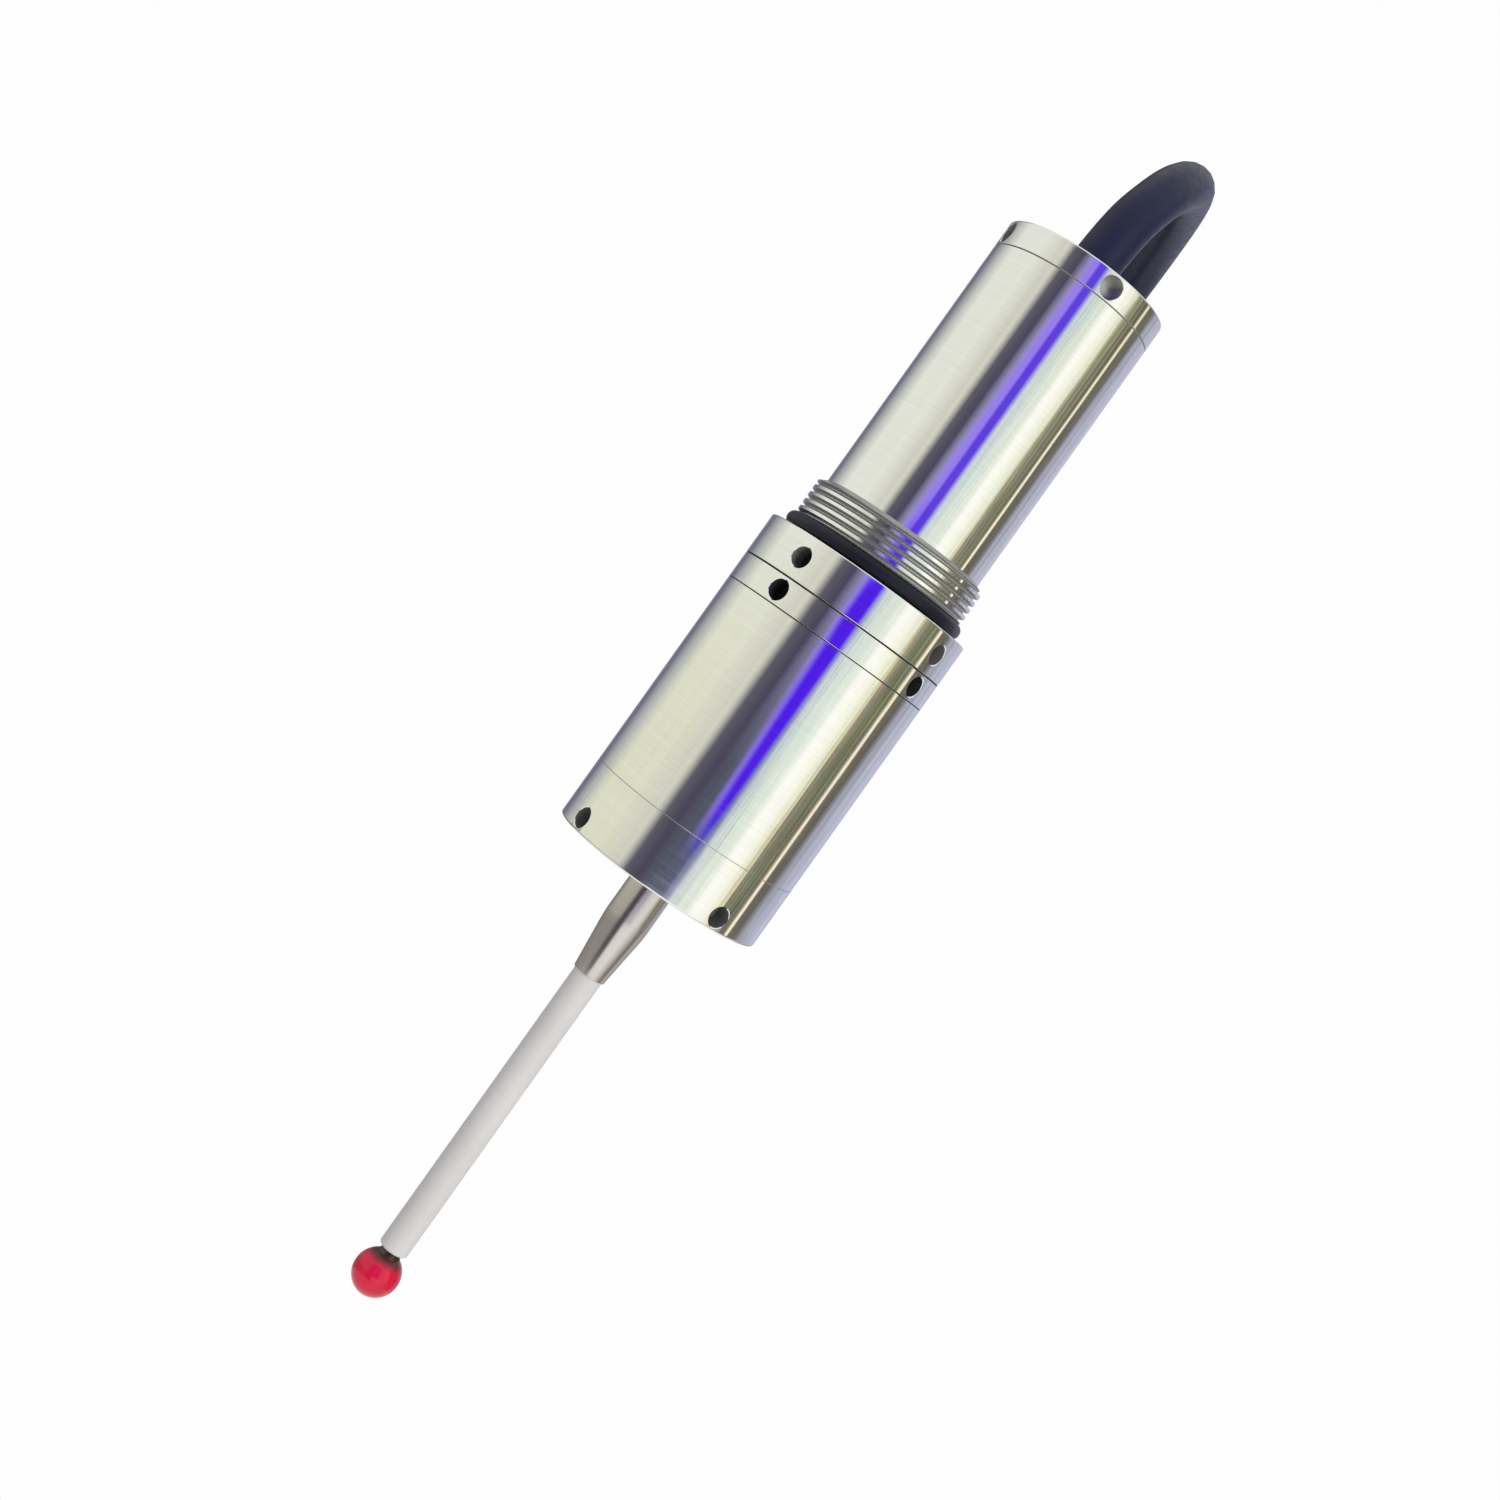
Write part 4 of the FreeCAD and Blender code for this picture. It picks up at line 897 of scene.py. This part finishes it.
def make_spring():
    """The preload spring, with a closed turn at each end."""
    low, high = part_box("preload_spring")
    coil_radius = high.x - SPRING_WIRE_RADIUS
    height = high.z - low.z
    rise = height - 2 * SPRING_WIRE_RADIUS
    steps, around = 40, 12
    form = bmesh.new()
    rings = []
    for step in range(SPRING_TURNS * steps + 1):
        turns = step / steps
        share = min(1.0, max(0.0, (turns - SPRING_CLOSED_TURNS) / (SPRING_TURNS - 2 * SPRING_CLOSED_TURNS)))
        level = low.z + SPRING_WIRE_RADIUS + rise * share
        c, s = math.cos(math.tau * turns), math.sin(math.tau * turns)
        wire = arc_points(coil_radius, level, SPRING_WIRE_RADIUS, 0.0, math.tau, around)[:-1]
        rings.append([form.verts.new((r * c, r * s, z)) for r, z in wire])
    skinned(form, rings)
    form.faces.new(rings[0])
    form.faces.new(rings[-1])
    spring = finished(meshed(form, "spring_coil"), "spring_coil", "preload_spring", "housing")
    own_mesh(spring)


# Stylus

def make_stylus():
    """The ferrule with its stud, the stem, the pin with its collar, and the ball."""
    foot = low_level("tripod_hub")
    end = low_level("stylus_ferrule")
    shoulder = end + FERRULE_TAPER
    stem_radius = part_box("stylus_stem")[1][0]
    stem_end, stem_top = levels("stylus_stem")
    stem_bore = stem_radius + SCREW_GAP
    ferrule = rounded([
        (0.0, foot + STUD_LENGTH),
        (STUD_RADIUS, foot + STUD_LENGTH, EDGE),
        (STUD_RADIUS, foot),
        (HOLDER_RADIUS, foot, HOLDER_EDGE),
        (HOLDER_RADIUS, shoulder, FERRULE_SHOULDER_EDGE),
        (FERRULE_TIP_RADIUS, end, FERRULE_TIP_EDGE),
        (stem_bore, end),
        (stem_bore, stem_top),
        (0.0, stem_top),
    ])
    even_normals(turned("ferrule", ferrule, "stylus_ferrule", "stylus", closed=False))
    pin_bore = PIN_RADIUS + SCREW_GAP
    pin_top = high_level("ball_pin")
    stem = rounded([
        (0.0, stem_top),
        (stem_radius, stem_top),
        (stem_radius, stem_end, STEM_EDGE),
        (pin_bore, stem_end),
        (pin_bore, pin_top),
        (0.0, pin_top),
    ])
    even_normals(turned("stem", stem, "stylus_stem", "stylus", closed=False))
    ball_center, ball_radius = ball_place()
    pin = [
        (0.0, pin_top),
        (PIN_RADIUS, pin_top),
        (PIN_RADIUS, stem_end),
        (PIN_WAIST_RADIUS, stem_end - COLLAR_LENGTH * PIN_WAIST_SHARE),
        (COLLAR_RADIUS, stem_end - COLLAR_LENGTH),
        (0.0, ball_center + ball_radius),
    ]
    even_normals(turned("pin", pin, "ball_pin", "stylus", closed=False, columns=SMALL_COLUMNS))
    ball = arc_points(0.0, ball_center, ball_radius, -math.pi / 2, math.pi / 2, steps=72)
    turned("ruby_tip", ball, "ruby_ball", "stylus", closed=False, columns=BALL_COLUMNS)


# Cable

def turn_points(column_from, column_to, radius_from, radius_to, x_share, r_share):
    """One turn of the hank in millimetres: down the back, round below, up the front and over the top.

    Over the top it goes on to its next place: across in the part x_share of the fold, in or out in r_share.
    """
    points = []
    fold = 6

    def put(x, radius, angle, center):
        reach = radius / math.cos(math.radians(90 / fold))
        points.append((x, HANK_MIDDLE + reach * math.cos(angle), center + reach * math.sin(angle)))

    def share_of(value, part):
        low, high = part
        return min(1.0, max(0.0, (value - low) / (high - low)))

    span = HANK_UPPER - HANK_LOWER
    for step in (1, 2):
        level = HANK_UPPER - span * step / 3
        points.append((column_from, HANK_MIDDLE + radius_from + LEG_BOW, level))
    for step in range(fold):
        put(column_from, radius_from, -math.pi * (step + 0.5) / fold, HANK_LOWER)
    for step in (1, 2):
        level = HANK_LOWER + span * step / 3
        points.append((column_from, HANK_MIDDLE - radius_from - LEG_BOW, level))
    for step in range(fold):
        share = (step + 0.5) / fold
        x = column_from + (column_to - column_from) * share_of(share, x_share)
        radius = radius_from + (radius_to - radius_from) * share_of(share, r_share)
        put(x, radius, math.pi * (1 - share), HANK_UPPER)
    return points


def hank_points():
    """Outer place beside the lead, then the three inner ones, then back along the outer layer."""
    plus, zero, minus = HANK_COLUMN, 0.0, -HANK_COLUMN
    whole, early, late = (0.0, 1.0), (0.0, 0.45), (0.15, 0.75)
    turns = [
        (plus, plus, HANK_OUTER, HANK_INNER, whole, whole),
        (plus, zero, HANK_INNER, HANK_INNER, whole, whole),
        (zero, minus, HANK_INNER, HANK_INNER, whole, whole),
        (minus, minus, HANK_INNER, HANK_OUTER, whole, late),
        (minus, zero, HANK_OUTER, HANK_OUTER, early, whole),
    ]
    points = []
    for turn in turns:
        points += turn_points(*turn)
    return points


def route_length(curve_object):
    """The length of a curve's own line, measured on it without its thickness."""
    bare = curve_object.data.copy()
    bare.bevel_depth = 0
    probe = added("probe_line", bare)
    bpy.context.view_layer.update()
    line = bpy.data.meshes.new_from_object(probe.evaluated_get(bpy.context.evaluated_depsgraph_get()))
    length = 0.0
    for edge in line.edges:
        first, second = (line.vertices[index].co for index in edge.vertices)
        length += (first - second).length
    bpy.data.objects.remove(probe)
    bpy.data.meshes.remove(line)
    return length


def make_cable():
    """The cable in one piece: up from the cap, over and down into its tied hank, and out to the plug."""
    curve = bpy.data.curves.new("cable", "CURVE")
    curve.dimensions = "3D"
    curve.bevel_depth = CABLE_RADIUS
    curve.bevel_resolution = 7
    curve.resolution_u = 8
    curve.use_fill_caps = True
    spline = curve.splines.new("NURBS")
    points = LEAD_ROUTE + hank_points() + TAIL_ROUTE
    spline.points.add(len(points) - 1)
    for place, point in zip(points, spline.points):
        point.co = (*(value * MM for value in place), 1.0)
    spline.order_u = 3
    spline.use_endpoint_u = True
    cable = added("cable", curve)
    curve.materials.append(MATERIALS["cable_jacket"])
    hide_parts("cable_lead", "cable_hank", "cable_tail")
    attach(cable, "housing")
    return cable


def make_tie():
    """The strap round the hank, with rounded edges."""
    low, high = (Vector(corner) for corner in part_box("hank_tie"))
    middle = (low + high) / 2
    straight = high - middle - Vector((STRAP_CORNER, STRAP_CORNER, 0))
    profile = rounded([
        (-STRAP_THICKNESS, low.z, STRAP_EDGE),
        (0.0, low.z, STRAP_EDGE),
        (0.0, high.z, STRAP_EDGE),
        (-STRAP_THICKNESS, high.z, STRAP_EDGE),
    ], steps=3)
    form = bmesh.new()
    rings = []
    steps = 10
    for index, (side_x, side_y) in enumerate(((1, 1), (-1, 1), (-1, -1), (1, -1))):
        x, y = middle.x + side_x * straight.x, middle.y + side_y * straight.y
        for step in range(steps + 1):
            angle = math.radians(90 * index + 90 * step / steps)
            c, s = math.cos(angle), math.sin(angle)
            section = [(STRAP_CORNER + reach, level) for reach, level in profile]
            rings.append([form.verts.new((x + c * r, y + s * r, z)) for r, z in section])
    skinned(form, rings + rings[:1])
    return even_normals(finished(meshed(form, "tie_band"), "tie_band", "hank_tie", "housing"))


def moved(mesh, x, y):
    mesh.transform(Matrix.Translation((x, y, 0)))
    return mesh


def make_plug():
    """The grip with its ribbed neck, and the knurled metal shell."""
    x, y = (value * MM for value in TAIL_ROUTE[-1][:2])
    bottom, top = levels("plug_body")
    neck = [(0.0, top), (NECK_RADIUS - NECK_EDGE, top), (NECK_RADIUS, top - NECK_EDGE)]
    ribs = []
    pitch = GRIP_TAPER * (1 - RIB_START_SHARE) / RIBS
    widening = (GRIP_RADIUS - NECK_RADIUS) / RIBS
    for rib in range(RIBS):
        start = top - GRIP_TAPER * RIB_START_SHARE - pitch * rib
        here = NECK_RADIUS + widening * rib
        ribs += [
            (here, start),
            (here - RIB_DEPTH, start - pitch * RIB_ROOT_SHARE),
            (here + widening, start - pitch * RIB_CREST_SHARE),
        ]
    end = [(GRIP_RADIUS, bottom + PLUG_EDGE), (GRIP_RADIUS - PLUG_EDGE, bottom), (0.0, bottom)]
    section = [*neck, *ribs, (GRIP_RADIUS, top - GRIP_TAPER), *end]
    grip = moved(revolved("plug_grip", section, closed=False, columns=SMALL_COLUMNS), x, y)
    body = even_normals(finished(grip, "plug_grip", "plug_body", "housing"))
    low, high = levels("plug_shell")
    knurl_low, knurl_high = low + KNURL_LOW_MARGIN, high - KNURL_HIGH_MARGIN
    outer, edge = SHELL_RADIUS, PLUG_EDGE

    def shell_section(angle):
        knurl = outer - KNURL_DEPTH * (0.5 - 0.5 * math.cos(KNURL_FLUTES * angle))
        return [
            (SHELL_BORE_RADIUS, low), (outer - edge, low), (outer, low + edge), (outer, knurl_low - edge),
            (knurl, knurl_low), (knurl, knurl_high), (outer, knurl_high + edge),
            (outer, high - edge), (outer - edge, high), (SHELL_BORE_RADIUS, high),
        ]

    shell = moved(revolved("knurled_shell", shell_section, columns=KNURL_FLUTES * 8), x, y)
    return body, finished(shell, "knurled_shell", "plug_shell", "housing")


def dress_carried_nodes():
    """Every CAD node that is still shown gets its slot's material."""
    for name, piece in frame["nodes"].items():
        material = MATERIALS[SLOTS[name]]
        if piece.material_slots:
            for place in piece.material_slots:
                place.material = material
        else:
            piece.data.materials.append(material)


# Camera, light and floor

def make_camera():
    data = bpy.data.cameras.new("camera")
    data.sensor_width = 36
    data.lens = CAMERA_LENS
    data.shift_x, data.shift_y = CAMERA_SHIFT
    data.clip_start = 0.01
    data.clip_end = 30
    camera = added("camera", data)
    right = Vector((math.cos(CAMERA_ROLL), 0, math.sin(CAMERA_ROLL)))
    up = Vector((-math.sin(CAMERA_ROLL), 0, math.cos(CAMERA_ROLL)))
    back = right.cross(up)
    turn = Matrix((right, up, back)).transposed().to_4x4()
    camera.matrix_world = Matrix.Translation((0, -CAMERA_DISTANCE, CAMERA_LEVEL)) @ turn
    bpy.context.scene.camera = camera


def seen_directly(tree):
    """1 for what the camera sees, by itself or in metal and glass, and 0 for what only lights the object."""
    path = node(tree, "LightPath")
    seen = math_node(tree, "MAXIMUM", path.outputs["Is Camera Ray"], path.outputs["Is Glossy Ray"])
    return math_node(tree, "MAXIMUM", seen, path.outputs["Is Transmission Ray"])


def make_world():
    """Soft light from all round, which is seen as white."""
    world = bpy.data.worlds.new("studio")
    bpy.context.scene.world = world
    tree = empty_tree(world)
    dim = node(tree, "Background", {"Color": WORLD_COLOR, "Strength": WORLD_STRENGTH})
    white = node(tree, "Background", {"Color": (1, 1, 1, 1), "Strength": 1.0})
    shown(tree, shader_mix(tree, seen_directly(tree), dim, white), "OutputWorld")


def make_floor():
    """Pale floor that curves up into the backdrop, and is seen as white where no shadow falls."""
    material = bpy.data.materials.new("floor")
    tree = empty_tree(material)
    paper = node(tree, "BsdfDiffuse", {"Color": FLOOR_COLOR})
    share = math_node(tree, "MULTIPLY", seen_directly(tree), FLOOR_WHITE_SHARE)
    shown(tree, shader_mix(tree, share, paper, node(tree, "Emission")))
    curve = arc_points(FLOOR_BACK, FLOOR_LEVEL + BACKDROP_CURVE, BACKDROP_CURVE, -math.pi / 2, 0.0, steps=16)
    profile = [(FLOOR_FRONT, FLOOR_LEVEL), *curve, (FLOOR_BACK + BACKDROP_CURVE, BACKDROP_TOP)]
    places = [(side * FLOOR_HALF_WIDTH, y, z) for y, z in profile for side in (-1, 1)]
    faces = [(row, row + 1, row + 3, row + 2) for row in range(0, len(places) - 2, 2)]
    mesh = bpy.data.meshes.new("floor")
    mesh.from_pydata(places, [], faces)
    mesh.polygons.foreach_set("use_smooth", [True] * len(faces))
    mesh.materials.append(material)
    floor = added("floor", mesh)


def round_the_probe(azimuth, radius, level):
    """A place round the axis. Azimuth 0 is on the camera's side, and it grows towards +X."""
    angle = math.radians(azimuth)
    return (radius * math.sin(angle), -radius * math.cos(angle), level)


def around_ramp(tree, share, stops):
    """A ramp once round. Each stop is an azimuth and a colour or a grey."""
    colors = [color if isinstance(color, tuple) else (color,) * 3 for _, color in stops]
    return ramp(tree, share, [((stop[0] + 180) / 360, color) for stop, color in zip(stops, colors)])


def make_studio():
    """A round screen that only gloss and metal show: it gives the polished body its bands of colour."""
    columns = 180
    places = []
    for column in range(columns):
        for level in (STUDIO_BOTTOM, STUDIO_TOP):
            places.append(round_the_probe(360 * column / columns, STUDIO_RADIUS, level))
    count = len(places)
    faces = [(i, (i + 2) % count, (i + 3) % count, i + 1) for i in range(0, count, 2)]
    mesh = bpy.data.meshes.new("studio_screen")
    mesh.from_pydata(places, [], faces)
    mesh.materials.append(studio_material())
    screen = added("studio_screen", mesh)
    screen.visible_camera = False
    screen.visible_diffuse = False
    screen.visible_transmission = False
    screen.visible_shadow = False


def studio_material():
    """The bands round the screen, then the violet one, the streaks, and the foot's own colours."""
    material = bpy.data.materials.new("studio_screen")
    tree = empty_tree(material)
    place = object_place(tree)
    x, y, height = split(tree, place)
    toward = math_node(tree, "MULTIPLY", y, -1.0)
    turn = math_node(tree, "DIVIDE", math_node(tree, "ARCTAN2", x, toward), math.tau)
    share = math_node(tree, "ADD", turn, 0.5)
    upper = around_ramp(tree, share, STUDIO)
    low_stops = [(azimuth, LOW_CHANGES.get(azimuth, color)) for azimuth, color in STUDIO]
    lower = around_ramp(tree, share, low_stops)
    lit = mixed(tree, spread(tree, height, 1.0, 0.0, *LOW_LEVELS), upper, lower)
    drop = math_node(tree, "MINIMUM", math_node(tree, "SUBTRACT", height, VIOLET_NARROWING_TOP), 0.0)
    leaning = math_node(tree, "ADD", share, math_node(tree, "MULTIPLY", drop, VIOLET_NARROWING / 360))
    left = around_ramp(tree, leaning, VIOLET_LEFT)
    right = around_ramp(tree, share, VIOLET_RIGHT)
    strength = math_node(tree, "MULTIPLY", left, right)
    violet = around_ramp(tree, leaning, VIOLET_COLORS)
    high_violet = around_ramp(tree, share, HIGH_VIOLET_COLORS)
    violet = mixed(tree, spread(tree, height, 0.0, 1.0, *HIGH_LEVELS), violet, high_violet)
    fade = spread(tree, height, 0.0, 1.0, *VIOLET_FADE)
    lit = mixed(tree, math_node(tree, "MULTIPLY", strength, fade), lit, violet)
    busy = around_ramp(tree, share, STREAK_PARTS)
    for scale in STREAK_SCALES:
        streak = noise(tree, scaled(tree, place, scale), scale=1.0, roughness=0.65, output="Color")
        pale = node(tree, "HueSaturation", {"Color": streak, "Saturation": STREAK_SATURATION})
        base = (1 - STREAK_CONTRAST) / 2
        values = {0: pale.outputs["Color"], 1: (STREAK_CONTRAST,) * 3, 2: (base,) * 3}
        sharper = node(tree, "VectorMath", values, operation="MULTIPLY_ADD")
        lit = mixed(tree, busy, lit, sharper.outputs[0], "OVERLAY")
    foot = around_ramp(tree, share, STUDIO_FOOT)
    lit = mixed(tree, spread(tree, height, 1.0, 0.0, *FOOT_LEVELS), lit, foot)
    shown(tree, node(tree, "Emission", {"Color": lit, "Strength": STUDIO_GAIN}))
    return material


def make_light(name, azimuth, radius, level, width, height, power):
    data = bpy.data.lights.new(name, "AREA")
    data.shape = "RECTANGLE"
    data.size = width
    data.size_y = height
    data.energy = power
    light = added(name, data)
    place = Vector(round_the_probe(azimuth, radius, level))
    light.location = place
    light.rotation_euler = (-place).to_track_quat("-Z", "Y").to_euler()
    light.visible_glossy = False


make_camera()
cable = make_cable()
tie = make_tie()
plug = make_plug()
cable_length = route_length(cable)
make_rear_tube()
make_rings()
make_main_sleeve()
make_front_cap()
make_rear_cap()
make_seal()
make_grommet()
make_diaphragm()
make_spring()
make_stylus()
dress_carried_nodes()
make_world()
make_floor()
make_studio()
for light in LIGHTS:
    make_light(*light)
bpy.context.scene.view_settings.view_transform = "Standard"
print(f"cable length {cable_length:.3f} m")
